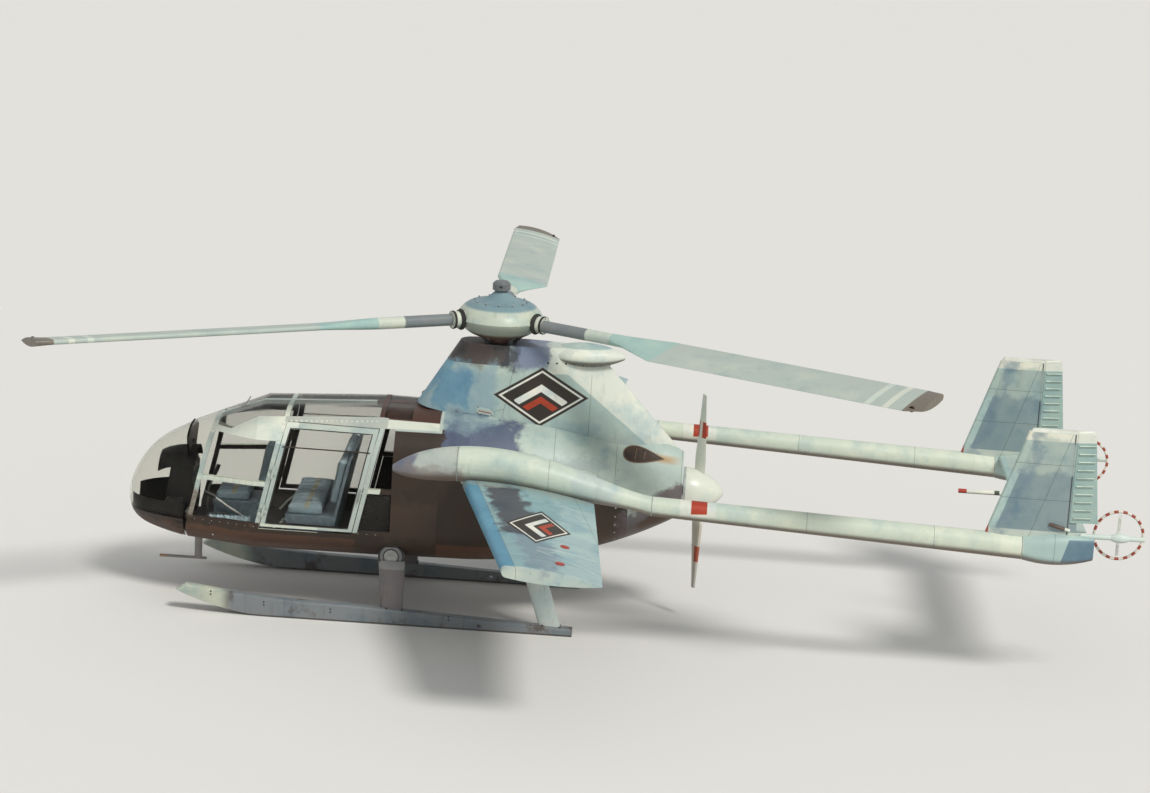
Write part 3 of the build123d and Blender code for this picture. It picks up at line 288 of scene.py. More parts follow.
def skin_paint(name, paint, zones=(), stains=(), joints=(), extra=None, lining=None, soft=0.008, **wear_and_shade):
    """Sprayed paint on riveted sheet, with zones of other colours, ragged stains and ragged patches of painted shade,
    painted shade where it faces down, sheet joints and a lining.
    """
    finish, tree, shader = new_finish(name)
    place = folded_place(tree)
    sides = lay(tree, "TexCoord", {}).outputs
    tone = lay(tree, "RGB", {}).outputs[0]
    tone.default_value = (*paint, 1)
    for bands, colour in zones:
        tone = blended(tree, masked(tree, place, bands, soft), tone, colour)
    if stains:
        shake = lay(tree, "TexNoise", {}, Vector=place, Scale=6.0, Detail=6.0, Roughness=0.62).outputs[1]
        shaken = lay(tree, "VectorMath", {"operation": "MULTIPLY_ADD"}, shake, (RAGGED * 4,) * 3, place).outputs[0]
        ragged = lay(tree, "VectorMath", {"operation": "SUBTRACT"}, shaken, (RAGGED * 2,) * 3).outputs[0]
        for bands, colour, share in stains:
            tone = blended(tree, reckon(tree, "MULTIPLY", masked(tree, ragged, bands, RAGGED), share), tone, colour)
    if extra:
        tone = extra(tree, place, tone)
    coat = lay(
        tree, "Group", {"node_tree": weathered_and_shaded}, Place=place, Facing=sides["Normal"], Paint=tone,
        **{label.replace("_", " "): value for label, value in wear_and_shade.items()},
    )
    tone, height = coat.outputs["Colour"], coat.outputs["Height"]
    for across, offset, along, bands in joints:
        off = reckon(tree, "SUBTRACT", run_along(tree, place, across), offset)
        joint = lay(tree, "Group", {"node_tree": jointed}, Off=off, Run=run_along(tree, place, along)).outputs
        slit, heads = joint["Slit"], joint["Heads"]
        if bands:
            here = masked(tree, place, bands, JOINT_END)
            slit, heads = reckon(tree, "MULTIPLY", slit, here), reckon(tree, "MULTIPLY", heads, here)
        tone = blended(tree, reckon(tree, "MULTIPLY", slit, SLIT_SHARE), tone, SLIT_DIRT)
        tone = blended(tree, reckon(tree, "MULTIPLY", heads, HEAD_SHARE), tone, HEAD_DIRT)
        height = reckon(tree, "MULTIPLY_ADD", heads, HEAD_RISE, height)
        height = reckon(tree, "MULTIPLY_ADD", slit, -SLIT_DEPTH, height)
    if lining:
        axis_height, lining_colour = lining
        inner = lay(tree, "Group", {"node_tree": lined}, Place=sides["Object"], Facing=sides["Normal"])
        inner.inputs["Axis height"].default_value = axis_height
        tone = blended(tree, inner.outputs["Inside"], tone, lining_colour)
    tree.links.new(tone, shader.inputs["Base Color"])
    tree.links.new(coat.outputs["Roughness"], shader.inputs["Roughness"])
    shader.inputs["Specular IOR Level"].default_value = 0.4
    bump = lay(tree, "Bump", {}, Strength=0.3, Distance=0.0012, Height=height)
    tree.links.new(bump.outputs[0], shader.inputs["Normal"])
    return finish


def coat(finish, *names):
    """Gives CAD nodes a finish."""
    for name in names:
        for place in nodes[name].material_slots:
            place.material = finish


POD_PALE = (0.47, 0.54, 0.49)
POD_CREAM = (0.66, 0.71, 0.60)
POD_BROWN = (0.036, 0.022, 0.013)
POD_RED_BROWN = (0.085, 0.038, 0.021)
POD_INSIDE = (0.022, 0.018, 0.015)
POST_LEAN = 0.21
POST_FOOT = 0.83
POST_RUN = (1, 0, POST_LEAN)


def post_run(foot_x):
    """Where a leaning post's line lies along POST_RUN."""
    return foot_x + POST_LEAN * POST_FOOT


pod_zones = [
    # Near-black brown on the tub and rear quarters: partly dark paint, partly painted shade under the wing and the
    # belly.
    ([(UP, None, 0.868)], POD_BROWN),
    ([(UP, 0.845, 0.90), (ALONG, 1.62, 2.22)], POD_CREAM),
    ([(POST_RUN, post_run(2.20), None), (UP, None, 0.905)], POD_BROWN),
    ([(UP, None, 0.80)], POD_RED_BROWN),
    ([(POST_RUN, None, post_run(1.245)), (UP, None, 1.868)], POD_BROWN),
    ([(POST_RUN, 1.30, post_run(1.245)), (UP, 1.266, 1.320), (ALONG, 0.93, None)], POD_CREAM),
    ([(UP, 1.262, 1.324), (ALONG, 2.15, None)], POD_CREAM),
    ([(ALONG, 0.5, 1.16), (OUT, None, 0.47), (UP, 1.9, None)], (0.075, 0.034, 0.022)),
    ([(ALONG, 0.5, 1.30), (OUT, 0.47, 0.64), (UP, 1.885, None)], (0.70, 0.73, 0.62)),
    ([(ALONG, 1.86, 2.90), (OUT, 0.25, None), (UP, 1.69, None)], (0.72, 0.76, 0.66)),
    ([(ALONG, 1.0, 2.0), (OUT, 0.45, None), (UP, 1.88, None)], (0.47, 0.50, 0.45)),
]
pod_stains = [
    ([(POST_RUN, 3.02, None), (UP, 0.9, 1.12)], (0.16, 0.11, 0.08), 0.8),
    ([(UP, 0.72, 0.80), (ALONG, 2.3, 3.1)], (0.16, 0.07, 0.035), 0.5),
    ([(UP, 0.80, 1.2), (ALONG, 0.45, 1.1)], (0.07, 0.042, 0.028), 0.6),
]
pod_joints = [
    (ALONG, 1.68, UP, [(UP, None, 0.85)]),
    (ALONG, 2.42, UP, [(UP, None, 0.85)]),
    (ALONG, 1.02, UP, [(UP, None, 1.24)]),
    (UP, 0.80, ALONG, None),
]
POD_SHEETS = [
    "cabin_tub", "cabin_side_frame_port", "cabin_side_frame_starboard", "cabin_roof_frame",
    "door_port", "door_starboard",
]
pod_paint = skin_paint(
    "pod_paint", POD_PALE, pod_zones, pod_stains, pod_joints, lining=(1.30, POD_INSIDE),
    Mottling=0.55, Streaking=0.10, Underside=0.35,
)
coat(pod_paint, *POD_SHEETS)


def skin_tree(*names):
    """The surfaces of some pieces, ready to be asked where they are."""
    points, faces = [], []
    for name in names:
        start = len(points)
        mesh = bpy.data.objects[name].data
        points += [v.co.copy() for v in mesh.vertices]
        faces += [tuple(start + i for i in p.vertices) for p in mesh.polygons]
    return BVHTree.FromPolygons(points, faces)


def on_skin(tree, start, direction):
    """The point where a line from start first meets a surface, and the surface's outward normal there."""
    start, direction = Vector(start), Vector(direction).normalized()
    spot, normal, _, _ = tree.ray_cast(start, direction)
    if spot is None:
        return None
    return spot, normal if normal.dot(direction) < 0 else -normal


def piece(name, forms, body, finish, smooth=True):
    """One object from lists of points and faces, riding on a body."""
    points, faces = [], []
    for more_points, more_faces in forms:
        start = len(points)
        points += [tuple(p) for p in more_points]
        faces += [tuple(start + i for i in face) for face in more_faces]
    mesh = bpy.data.meshes.new(name)
    mesh.from_pydata(points, [], faces)
    mesh.validate()
    mesh.materials.append(finish)
    if smooth:
        mesh.shade_smooth()
        mesh.set_sharp_from_angle(angle=math.radians(38))
    made = bpy.data.objects.new(name, mesh)
    bpy.context.scene.collection.objects.link(made)
    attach(made, body)
    return made


def side_axes(direction):
    """Two axes square to a direction."""
    direction = Vector(direction).normalized()
    lead = Vector((0, 0, 1)) if abs(direction.z) < 0.9 else Vector((1, 0, 0))
    first = direction.cross(lead).normalized()
    return first, direction.cross(first)


def turned(base, direction, profile, steps=16):
    """A turned form: profile gives (height along direction, radius) pairs from the base up."""
    first, second = side_axes(direction)
    direction = Vector(direction).normalized()
    points, faces = [], []
    for height, radius in profile:
        for step in range(steps):
            turn = 2 * math.pi * step / steps
            out = math.cos(turn) * first + math.sin(turn) * second
            points.append(Vector(base) + direction * height + out * radius)
    for ring in range(len(profile) - 1):
        for step in range(steps):
            a, b = ring * steps + step, ring * steps + (step + 1) % steps
            faces.append((a, b, b + steps, a + steps))
    faces.append(tuple(range(steps))[::-1])
    faces.append(tuple(range((len(profile) - 1) * steps, len(profile) * steps)))
    return points, faces


def bar(path, radius, steps=10, closed=False, flat=1.0):
    """A bent bar or tube along a path; flat squeezes its section."""
    path = [Vector(p) for p in path]
    count = len(path)
    points, faces = [], []
    lead = None
    for i, spot in enumerate(path):
        ahead = path[(i + 1) % count] if closed or i < count - 1 else spot
        behind = path[i - 1] if closed or i > 0 else spot
        run = (ahead - behind).normalized()
        lead = side_axes(run)[0] if lead is None else (lead - run * lead.dot(run)).normalized()
        other = run.cross(lead)
        for step in range(steps):
            turn = 2 * math.pi * step / steps
            points.append(spot + radius * (math.cos(turn) * lead + flat * math.sin(turn) * other))
    for i in range(count if closed else count - 1):
        for step in range(steps):
            a, b = i * steps + step, i * steps + (step + 1) % steps
            c, d = ((i + 1) % count) * steps + (step + 1) % steps, ((i + 1) % count) * steps + step
            faces.append((a, b, c, d))
    if not closed:
        faces.append(tuple(range(steps))[::-1])
        faces.append(tuple(range((count - 1) * steps, count * steps)))
    return points, faces


def head(spot, normal, radius, height):
    """One domed rivet or screw head."""
    profile = [
        (-0.4 * height, radius), (0.15 * height, radius), (0.7 * height, 0.72 * radius), (height, 0.3 * radius)
    ]
    return turned(spot, normal, profile, 10)


def closed_grid(top, low):
    """A closed form between two grids of points, each given as rows of the same length."""
    wide, long = len(top[0]), len(top)
    points = [spot for row in top for spot in row] + [spot for row in low for spot in row]
    count = wide * long
    faces = []
    for i in range(long - 1):
        for j in range(wide - 1):
            a, b = i * wide + j, (i + 1) * wide + j
            faces += [(a, a + 1, b + 1, b), (count + b, count + b + 1, count + a + 1, count + a)]
    border = list(range(wide)) + [i * wide + wide - 1 for i in range(1, long)]
    border += [(long - 1) * wide + j for j in range(wide - 2, -1, -1)] + [i * wide for i in range(long - 2, 0, -1)]
    for here, after in zip(border, border[1:] + border[:1]):
        faces.append((here, count + here, count + after, after))
    return points, faces


def laid_sheet(rows, lift=0.002, thick=0.002):
    """A thin sheet laid over a surface, from rows of (point, normal) on it."""
    top = [[spot + normal * lift for spot, normal in row] for row in rows]
    low = [[spot + normal * (lift - thick) for spot, normal in row] for row in rows]
    return closed_grid(top, low)


def cast_patch(tree, corners, wide, long, direction):
    """Rows of points and normals where a grid between four corners meets a surface along a direction."""
    first, second, third, fourth = (Vector(c) for c in corners)
    rows = []
    for i in range(long + 1):
        left, right = first.lerp(fourth, i / long), second.lerp(third, i / long)
        hits = [on_skin(tree, left.lerp(right, j / wide), direction) for j in range(wide + 1)]
        if all(hits):
            rows.append(hits)
    return rows


def mirrored(forms):
    """The forms and their mirror images on the starboard side."""
    both = list(forms)
    for points, faces in forms:
        both.append(([Vector((p[0], -p[1], p[2])) for p in points], [f[::-1] for f in faces]))
    return both


def plain_finish(name, colour, roughness, metal=0.0, grain=25.0, bump=0.25, spread=0.12, gloss=0.5):
    """A solid-coloured finish with a little cloud in its colour, roughness and surface."""
    finish, tree, shader = new_finish(name)
    place = own_place(tree)
    patch = cloud(tree, place, grain, 5.0)
    dark = tuple(c * (1 - 2 * spread) for c in colour)
    light = tuple(min(1, c * (1 + spread)) for c in colour)
    tree.links.new(blended(tree, ramp(tree, patch, 0.3, 0.7), dark, light), shader.inputs["Base Color"])
    tree.links.new(
        ramp(tree, patch, 0.25, 0.75, roughness * 0.8, min(1, roughness * 1.2)), shader.inputs["Roughness"]
    )
    shader.inputs["Metallic"].default_value = metal
    shader.inputs["Specular IOR Level"].default_value = gloss
    fine = cloud(tree, place, grain * 9, 2.0)
    tree.links.new(
        lay(tree, "Bump", {}, Strength=bump, Distance=0.0008, Height=fine).outputs[0], shader.inputs["Normal"]
    )
    return finish


# Fasteners: a row of white round heads along the roof lights, and small steel screws down the posts,
# along the mid rails and along the sills.
def heads_on(tree, starts, direction, radius, height):
    """Heads wherever lines from some points first meet a surface."""
    hits = [on_skin(tree, start, direction) for start in starts]
    return [head(*hit, radius, height) for hit in hits if hit]


rivet_white = plain_finish("rivet_white", (0.76, 0.78, 0.70), 0.4)
screw_steel = plain_finish("screw_steel", (0.42, 0.43, 0.42), 0.35, metal=0.7)
pod_skin = skin_tree(*POD_SHEETS)
DOWN, INWARD = (0, 0, -1), (0, -1, 0)
ROOF_ROW_X, ROOF_ROW_Y, ROOF_PITCH, ROOF_COUNT = 1.99, 0.505, 0.049, 19
roof_row = [(ROOF_ROW_X - ROOF_PITCH * step, ROOF_ROW_Y, 3) for step in range(ROOF_COUNT)]
piece(
    "roof_rivets", mirrored(heads_on(pod_skin, roof_row, DOWN, 0.012, 0.008)), "airframe", rivet_white
)

SCREW_R, SCREW_HEIGHT = 0.005, 0.0022
POST_SCREWS = ((2.925, -0.014), (2.925, -0.034), (2.2, 0.012), (2.2, 0.036), (1.29, -0.014))
POST_SCREW_ZS = [0.90 + 0.068 * step for step in range(15)]
POST_SIDE_Y = 0.35
post_screws = []
for foot_x, inset in POST_SCREWS:
    for z in POST_SCREW_ZS:
        hit = on_skin(pod_skin, (foot_x - POST_LEAN * (z - POST_FOOT) + inset, 3, z), INWARD)
        if hit and hit[0].y > POST_SIDE_Y:
            post_screws.append(head(*hit, SCREW_R, SCREW_HEIGHT))
RAIL_SCREWS = [(2.78 - 0.064 * step, 3, z) for step in range(10) for z in (1.281, 1.305)]
SILL_SCREWS = [(2.84 - 0.085 * step, 3, 0.862) for step in range(22)]
post_screws += heads_on(pod_skin, RAIL_SCREWS + SILL_SCREWS, INWARD, SCREW_R, SCREW_HEIGHT)
piece("post_screws", mirrored(post_screws), "airframe", screw_steel)


# Roof aerial: a flat blade of steel that leans back, on a round foot screwed to the roof's middle bow.
AERIAL_X = 2.47
AERIAL_LEAN, AERIAL_RISE, AERIAL_SUNK = 0.012, 0.02, 0.004
AERIAL_FOOT = [(0, 0.035), (0.005, 0.034), (0.009, 0.024)]
aerial_foot = on_skin(pod_skin, (AERIAL_X, 0, 3), DOWN)[0]
aerial_run = [aerial_foot + Vector((-AERIAL_LEAN * i, 0, AERIAL_RISE * i - AERIAL_SUNK)) for i in range(6)]
aerial_blade = bar(aerial_run, 0.014, 10, flat=0.4)
aerial_base = turned(aerial_foot - Vector((0, 0, 0.002)), (0, 0, 1), AERIAL_FOOT, 20)
piece("roof_aerial", [aerial_blade, aerial_base], "airframe", screw_steel)


# Doors: a bent steel handle by the rear edge, a rubber strip that holds the pane in its frame, and a flat
# dark guard bar screwed across the opening. The hinges belong to the frame and the door leaf.
SIDE_NAMES = ((1, "port"), (-1, "starboard"))
DOOR_FRONT_X, DOOR_REAR_X = 2.2, 1.29
DOOR_LOW, DOOR_HIGH = 0.85, 1.88
HANDLE_Z = 1.18
BAR_Z = 1.665
HANDLE_INSET = 0.024
STRIP_LAP, STRIP_SIDE_LAP, STRIP_STEPS = 0.005, 0.004, 14
BAR_OVERHANG, BAR_STEPS, BAR_STAND = 0.03, 12, 0.004
door_rubber = plain_finish("door_rubber", (0.022, 0.020, 0.018), 0.7)
bar_paint = plain_finish("bar_paint", (0.045, 0.030, 0.022), 0.45)
pane_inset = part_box("door_window_port")[0].z - DOOR_LOW
HANDLE_SHAPE = ((0.0, 0.0), (0.0, 0.018), (0.03, 0.026), (0.09, 0.026), (0.12, 0.018), (0.12, 0.0))
for side, label in SIDE_NAMES:
    door_skin = skin_tree(f"door_{label}")
    grip = []
    for rise, stand in HANDLE_SHAPE:
        z = HANDLE_Z + rise
        x = DOOR_REAR_X - POST_LEAN * (z - POST_FOOT) + HANDLE_INSET
        hit = on_skin(door_skin, (x, side * 3, z), (0, -side, 0))
        grip.append(hit[0] + hit[1] * stand)
    piece(f"door_handle_{label}", [bar(grip, 0.007, 10)], f"{label}_door", screw_steel)
    pane_skin = skin_tree(f"door_window_{label}", f"door_{label}")
    strip = []
    z_low, z_high = DOOR_LOW + pane_inset - STRIP_LAP, DOOR_HIGH - pane_inset + STRIP_LAP
    front_x = DOOR_FRONT_X - pane_inset + STRIP_SIDE_LAP
    rear_x = DOOR_REAR_X + pane_inset - STRIP_SIDE_LAP
    corners = ((front_x, z_low), (front_x, z_high), (rear_x, z_high), (rear_x, z_low))
    loop = [(x - POST_LEAN * (z - POST_FOOT), z) for x, z in corners]
    for i in range(4):
        (x0, z0), (x1, z1) = loop[i], loop[(i + 1) % 4]
        for step in range(STRIP_STEPS):
            share = step / STRIP_STEPS
            hit = on_skin(pane_skin, (x0 + (x1 - x0) * share, side * 3, z0 + (z1 - z0) * share), (0, -side, 0))
            strip.append(hit[0])
    piece(f"door_strip_{label}", [bar(strip, 0.0055, 8, closed=True)], f"{label}_door", door_rubber)
    lean = POST_LEAN * (BAR_Z - POST_FOOT)
    guard = []
    for step in range(BAR_STEPS + 1):
        run = (DOOR_REAR_X - DOOR_FRONT_X + 2 * BAR_OVERHANG) * step / BAR_STEPS
        hit = on_skin(pane_skin, (DOOR_FRONT_X - lean - BAR_OVERHANG + run, side * 3, BAR_Z), (0, -side, 0))
        guard.append(hit[0] + hit[1] * BAR_STAND)
    piece(f"door_guard_bar_{label}", [bar(guard, 0.011, 10, flat=0.55)], f"{label}_door", bar_paint)


# Glazing: blown acrylic sheets screwed to the frames and faintly smoked with age. The nose bubble's foot is painted
# over outside, and a black sheet inside it up to knee height is painted shade; cloth blinds hang under the rear roof
# lights.
def clear_sheet(name, tint, haze):
    """Clear acrylic with a faint tint and cloudy patches of haze; its shadow is lighter than its body."""
    finish, tree, shader = new_finish(name)
    shader.inputs["Base Color"].default_value = (*tint, 1)
    shader.inputs["Transmission Weight"].default_value = 1.0
    shader.inputs["IOR"].default_value = 1.12
    patch = cloud(tree, own_place(tree), 3.0)
    tree.links.new(ramp(tree, patch, 0.3, 0.8, haze * 0.3, haze), shader.inputs["Roughness"])
    shadow = lay(tree, "LightPath", {}).outputs["Is Shadow Ray"]
    tree.links.new(reckon(tree, "SUBTRACT", 1.0, reckon(tree, "MULTIPLY", shadow, 0.7)), shader.inputs["Alpha"])
    return finish


coat(
    clear_sheet("cabin_acrylic", (0.80, 0.80, 0.77), 0.04),
    "front_windows", "rear_windows", "door_window_port", "door_window_starboard",
)
coat(clear_sheet("nose_acrylic", (0.84, 0.84, 0.80), 0.05), "nose_bubble")
coat(clear_sheet("roof_acrylic", (0.66, 0.66, 0.63), 0.16), "roof_glass")

bubble_skin = skin_tree("nose_bubble")
BUBBLE_AXIS_Z = 1.08


def bubble_rows(first_x, last_x, top_z, long=18, wide=16):
    """Rows of points round the underside of the nose bubble, up to one height on each side."""
    rows = []
    for i in range(long + 1):
        x = first_x + (last_x - first_x) * i / long

        def at(turn):
            out = Vector((0, math.sin(turn), -math.cos(turn)))
            return on_skin(bubble_skin, Vector((x, 0, BUBBLE_AXIS_Z)) + out * 1.5, -out)

        low, high = 0.0, math.radians(115)
        for _ in range(14):
            middle = (low + high) / 2
            hit = at(middle)
            if hit and hit[0].z < top_z:
                low = middle
            else:
                high = middle
        row = [at(low * (2 * j / wide - 1)) for j in range(wide + 1)]
        if all(row) and low > 0.02:
            rows.append(row)
    return rows


piece(
    "nose_foot_paint", [laid_sheet(bubble_rows(2.965, 3.555, 0.835), 0.0022, 0.0018)], "airframe",
    skin_paint("nose_foot_paint", (0.075, 0.034, 0.019), stains=[([(UP, 0.76, None)], (0.02, 0.014, 0.01), 0.8)],
               joints=[(ALONG, 3.2, OUT, None)], Mottling=0.5, Streaking=0.1, Underside=0.2),
)
lining_black = plain_finish("lining_black", (0.014, 0.012, 0.011), 0.8, grain=12.0, bump=0.5)
# A black sheet in the nose's lower half: painted shade for the dark inside of the lower nose.
piece(
    "nose_shade_lining", [laid_sheet(bubble_rows(2.972, 3.530, 0.985), -0.016, 0.003)], "airframe", lining_black,
)

pane_skins = skin_tree("rear_windows")
QUARTER_LOW, QUARTER_HIGH = 0.904, 1.262
QUARTER_REAR_X = 0.924
quarter_front = [1.29 - 0.052 - POST_LEAN * (z - POST_FOOT) for z in (QUARTER_LOW, QUARTER_HIGH)]
quarter_corners = [
    (QUARTER_REAR_X, 3, QUARTER_LOW), (quarter_front[0], 3, QUARTER_LOW),
    (quarter_front[1], 3, QUARTER_HIGH), (QUARTER_REAR_X, 3, QUARTER_HIGH),
]
quarter = laid_sheet(cast_patch(pane_skins, quarter_corners, 8, 10, (0, -1, 0)), -0.013, 0.004)
piece("rear_quarter_linings", mirrored([quarter]), "airframe", lining_black)

roof_skin = skin_tree("roof_glass")
blind_low, blind_high = 0.700, 1.030
blind_corners = [(blind_low, 0.034, 3), (blind_low, 0.446, 3), (blind_high, 0.446, 3), (blind_high, 0.034, 3)]
blind = laid_sheet(cast_patch(roof_skin, blind_corners, 8, 8, (0, 0, -1)), -0.011, 0.003)
piece(
    "rear_roof_blinds", mirrored([blind]), "airframe",
    plain_finish("blind_cloth", (0.060, 0.026, 0.018), 0.8, grain=9.0, spread=0.3),
)


# Cabin floor, firewall and console: painted sheet with a ribbed tread, a quilted blanket and a wrinkle-painted
# instrument box. Dials, stick, collective lever, pedals and a ribbed air hose are what the crew sees and touches.
def tread_finish(name, colour, direction, scale, roughness):
    """Painted sheet with ribs pressed across it."""
    finish = plain_finish(name, colour, roughness, grain=6.0)
    tree = finish.node_tree
    place = own_place(tree)
    ribs = lay(
        tree, "TexWave", {"wave_type": "BANDS", "bands_direction": direction}, Vector=place, Scale=scale
    ).outputs[1]
    bump = lay(tree, "Bump", {}, Strength=0.8, Distance=0.003, Height=ribs)
    tree.links.new(bump.outputs[0], tree.nodes["Principled BSDF"].inputs["Normal"])
    return finish


coat(tread_finish("floor_tread", (0.035, 0.034, 0.033), "Y", 12.0, 0.6), "cabin_floor")
coat(tread_finish("firewall_quilt", (0.040, 0.030, 0.024), "Z", 6.0, 0.8), "firewall")
coat(plain_finish("wrinkle_black", (0.018, 0.017, 0.017), 0.55, grain=60.0, bump=0.7), "instrument_console")

bezel_black = plain_finish("bezel_black", (0.03, 0.03, 0.03), 0.4)
dial_faces = plain_finish("dial_faces", (0.012, 0.012, 0.013), 0.15, grain=40.0, bump=0.05)
dial_marks = plain_finish("dial_marks", (0.75, 0.76, 0.68), 0.5)
console_low, console_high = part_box("instrument_console")
PANEL_FOOT = Vector((console_low.x, 0, console_high.z - 0.15))
PANEL_TOP = Vector((console_low.x + 0.07, 0, console_high.z))
panel_up = (PANEL_TOP - PANEL_FOOT).normalized()
panel_out = Vector((-panel_up.z, 0, panel_up.x))
LOWER_FOOT = Vector((console_low.x + 0.06, 0, console_low.z))
lower_up = (PANEL_FOOT - LOWER_FOOT).normalized()
lower_out = Vector((-lower_up.z, 0, lower_up.x))
bezels, glasses, marks = [], [], []
dial_rows = [
    (PANEL_FOOT + panel_up * 0.08, panel_up, panel_out, (-0.138, -0.046, 0.046, 0.138), 0.040),
    (PANEL_FOOT - lower_up * 0.07, lower_up, lower_out, (-0.12, -0.04, 0.04, 0.12), 0.034),
    (PANEL_FOOT - lower_up * 0.17, lower_up, lower_out, (-0.12, -0.04, 0.04, 0.12), 0.034),
]
for base, rise, out, places, radius in dial_rows:
    for index, y in enumerate(places):
        centre = base + Vector((0, y, 0))
        rim = [(-0.002, 1.0), (0.006, 1.0), (0.009, 0.93), (0.009, 0.86), (0.003, 0.84)]
        bezels.append(turned(centre, out, [(height, radius * share) for height, share in rim], 28))
        glasses.append(turned(centre, out, [(0.001, radius * 0.83), (0.0042, radius * 0.83)], 28))
        for tick in range(10):
            turn = math.radians(36 * tick + 12 * index)
            reach = Vector((0, math.sin(turn), 0)) + rise * math.cos(turn)
            marks.append(bar([centre + out * 0.005 + reach * radius * s for s in (0.62, 0.76)], 0.0012, 4))
        needle = math.radians(55 + 71 * index)
        reach = Vector((0, math.sin(needle), 0)) + rise * math.cos(needle)
        marks.append(bar([centre + out * 0.006 + reach * radius * s for s in (-0.15, 0.6)], 0.0014, 4))
piece("dial_bezels", bezels, "airframe", bezel_black)
piece("dial_glasses", glasses, "airframe", dial_faces)
piece("dial_markings", marks, "airframe", dial_marks)

# Glare hood over the dials, bent from one sheet, with a compass on it and a row of switch boxes ahead of it
hood_rows = []
for x, drop in ((2.905, 0.0), (3.00, 0.004), (3.10, 0.016), (3.20, 0.040), (3.27, 0.075)):
    row = []
    for j in range(13):
        turn = math.radians(-68 + 136 * j / 12)
        out = Vector((0, math.sin(turn), math.cos(turn)))
        row.append((Vector((x, 0, 1.205 - drop)) + Vector((0, 0.275 * out.y, 0.245 * out.z)), out))
    hood_rows.append(row)
piece("glare_hood", [laid_sheet(hood_rows, 0.0, 0.004)], "airframe", lining_black)
boxes = []
BOX_ROWS = (  # x, y, z of the foot's middle, length, width, height
    (3.10, 0.245, 0.755, 0.16, 0.11, 0.20), (3.10, -0.245, 0.755, 0.16, 0.11, 0.20),
    (2.62, 0.49, 0.752, 0.14, 0.10, 0.15), (2.44, 0.50, 0.752, 0.10, 0.08, 0.11),
)


def rounded_box(x, y, z, length, width, height, edge=0.008):
    """A box with softened edges, as a stack of level outlines; x, y, z is the middle of its foot."""
    points, faces = [], []
    levels = [
        (0, edge), (edge * 0.4, edge * 0.3), (edge, 0), (height - edge, 0), (height - edge * 0.4, edge * 0.3),
        (height, edge),
    ]
    for lift, draw in levels:
        for sx, sy in ((1, 1), (-1, 1), (-1, -1), (1, -1)):
            cx, cy = x + sx * (length / 2 - edge), y + sy * (width / 2 - edge)
            for k in range(3):
                turn = math.radians(45 * k) + math.atan2(sy, sx) - math.radians(45)
                reach = edge - draw
                points.append(Vector((cx + reach * math.cos(turn), cy + reach * math.sin(turn), z + lift)))
    for ring in range(len(levels) - 1):
        for i in range(12):
            a, b = ring * 12 + i, ring * 12 + (i + 1) % 12
            faces.append((a, b, b + 12, a + 12))
    faces.append(tuple(range(12))[::-1])
    faces.append(tuple(range((len(levels) - 1) * 12, len(levels) * 12)))
    return points, faces


KNOB = [(0, 0.011), (0.010, 0.010), (0.013, 0.006)]
COMPASS = [(0, 0.012), (0.02, 0.012), (0.024, 0.034), (0.034, 0.040), (0.066, 0.040), (0.078, 0.026)]
BOTTLE = [(0, 0.02), (0.01, 0.042), (0.05, 0.05), (0.22, 0.05), (0.26, 0.036), (0.28, 0.016), (0.31, 0.016)]
knobs = []
for x, y, z, length, width, height in BOX_ROWS:
    boxes.append(rounded_box(x, y, z, length, width, height))
    for i in range(3):
        face_x = x - length / 2 + length * (0.25 + 0.25 * i)
        face_y = y + math.copysign(width / 2 - 0.001, y)
        knobs.append(turned((face_x, face_y, z + height * 0.62), (0, math.copysign(1, y), 0), KNOB, 12))
piece("radio_boxes", boxes, "airframe", bezel_black)
compass = [turned((2.99, 0, 1.448), (0, 0, 1), COMPASS, 24)]
piece("compass", compass, "airframe", bezel_black)
piece("radio_knobs", knobs, "airframe", rivet_white)
bottle = [turned((3.02, 0.33, 0.80), (1, 0, 0.12), BOTTLE, 24)]
piece("fire_bottle", bottle, "airframe", plain_finish("bottle_red", (0.42, 0.045, 0.02), 0.3))

# Stick ahead of the pilot's seat and collective lever beside it, each with a black grip
floor_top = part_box("cabin_floor")[1].z
pan_low, pan_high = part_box("pilot_seat_pan_cushion")
STICK_X = pan_high.x + 0.07
STICK_PATH = ((0, 0), (0.02, 0.15), (0.01, 0.32), (-0.05, 0.47))
stick = [bar([(STICK_X + dx, 0, floor_top + dz) for dx, dz in STICK_PATH], 0.012)]
stick.append(turned((STICK_X, 0, floor_top - 0.001), (0, 0, 1), [(0, 0.055), (0.02, 0.05), (0.06, 0.02)], 20))
lever_y = pan_high.y + 0.06
LEVER_PATH = ((pan_low.x + 0.02, 0.10), (pan_low.x + 0.22, 0.22), (pan_high.x - 0.02, 0.31))
stick.append(bar([(x, lever_y, floor_top + dz) for x, dz in LEVER_PATH], 0.013))
stick.append(
    bar([(pan_low.x + 0.02, lever_y, floor_top - 0.001), (pan_low.x + 0.02, lever_y, floor_top + 0.12)], 0.018)
)
piece("stick_and_lever", stick, "airframe", screw_steel)
GRIP_PATH = ((-0.03, 0.43), (-0.062, 0.50), (-0.085, 0.56))
grips = [bar([(STICK_X + dx, 0, floor_top + dz) for dx, dz in GRIP_PATH], 0.021, 12)]
LEVER_GRIP = ((-0.04, 0.305), (0.08, 0.355))
grips.append(bar([(pan_high.x + dx, lever_y, floor_top + dz) for dx, dz in LEVER_GRIP], 0.021, 12))
piece("control_grips", grips, "airframe", bezel_black)

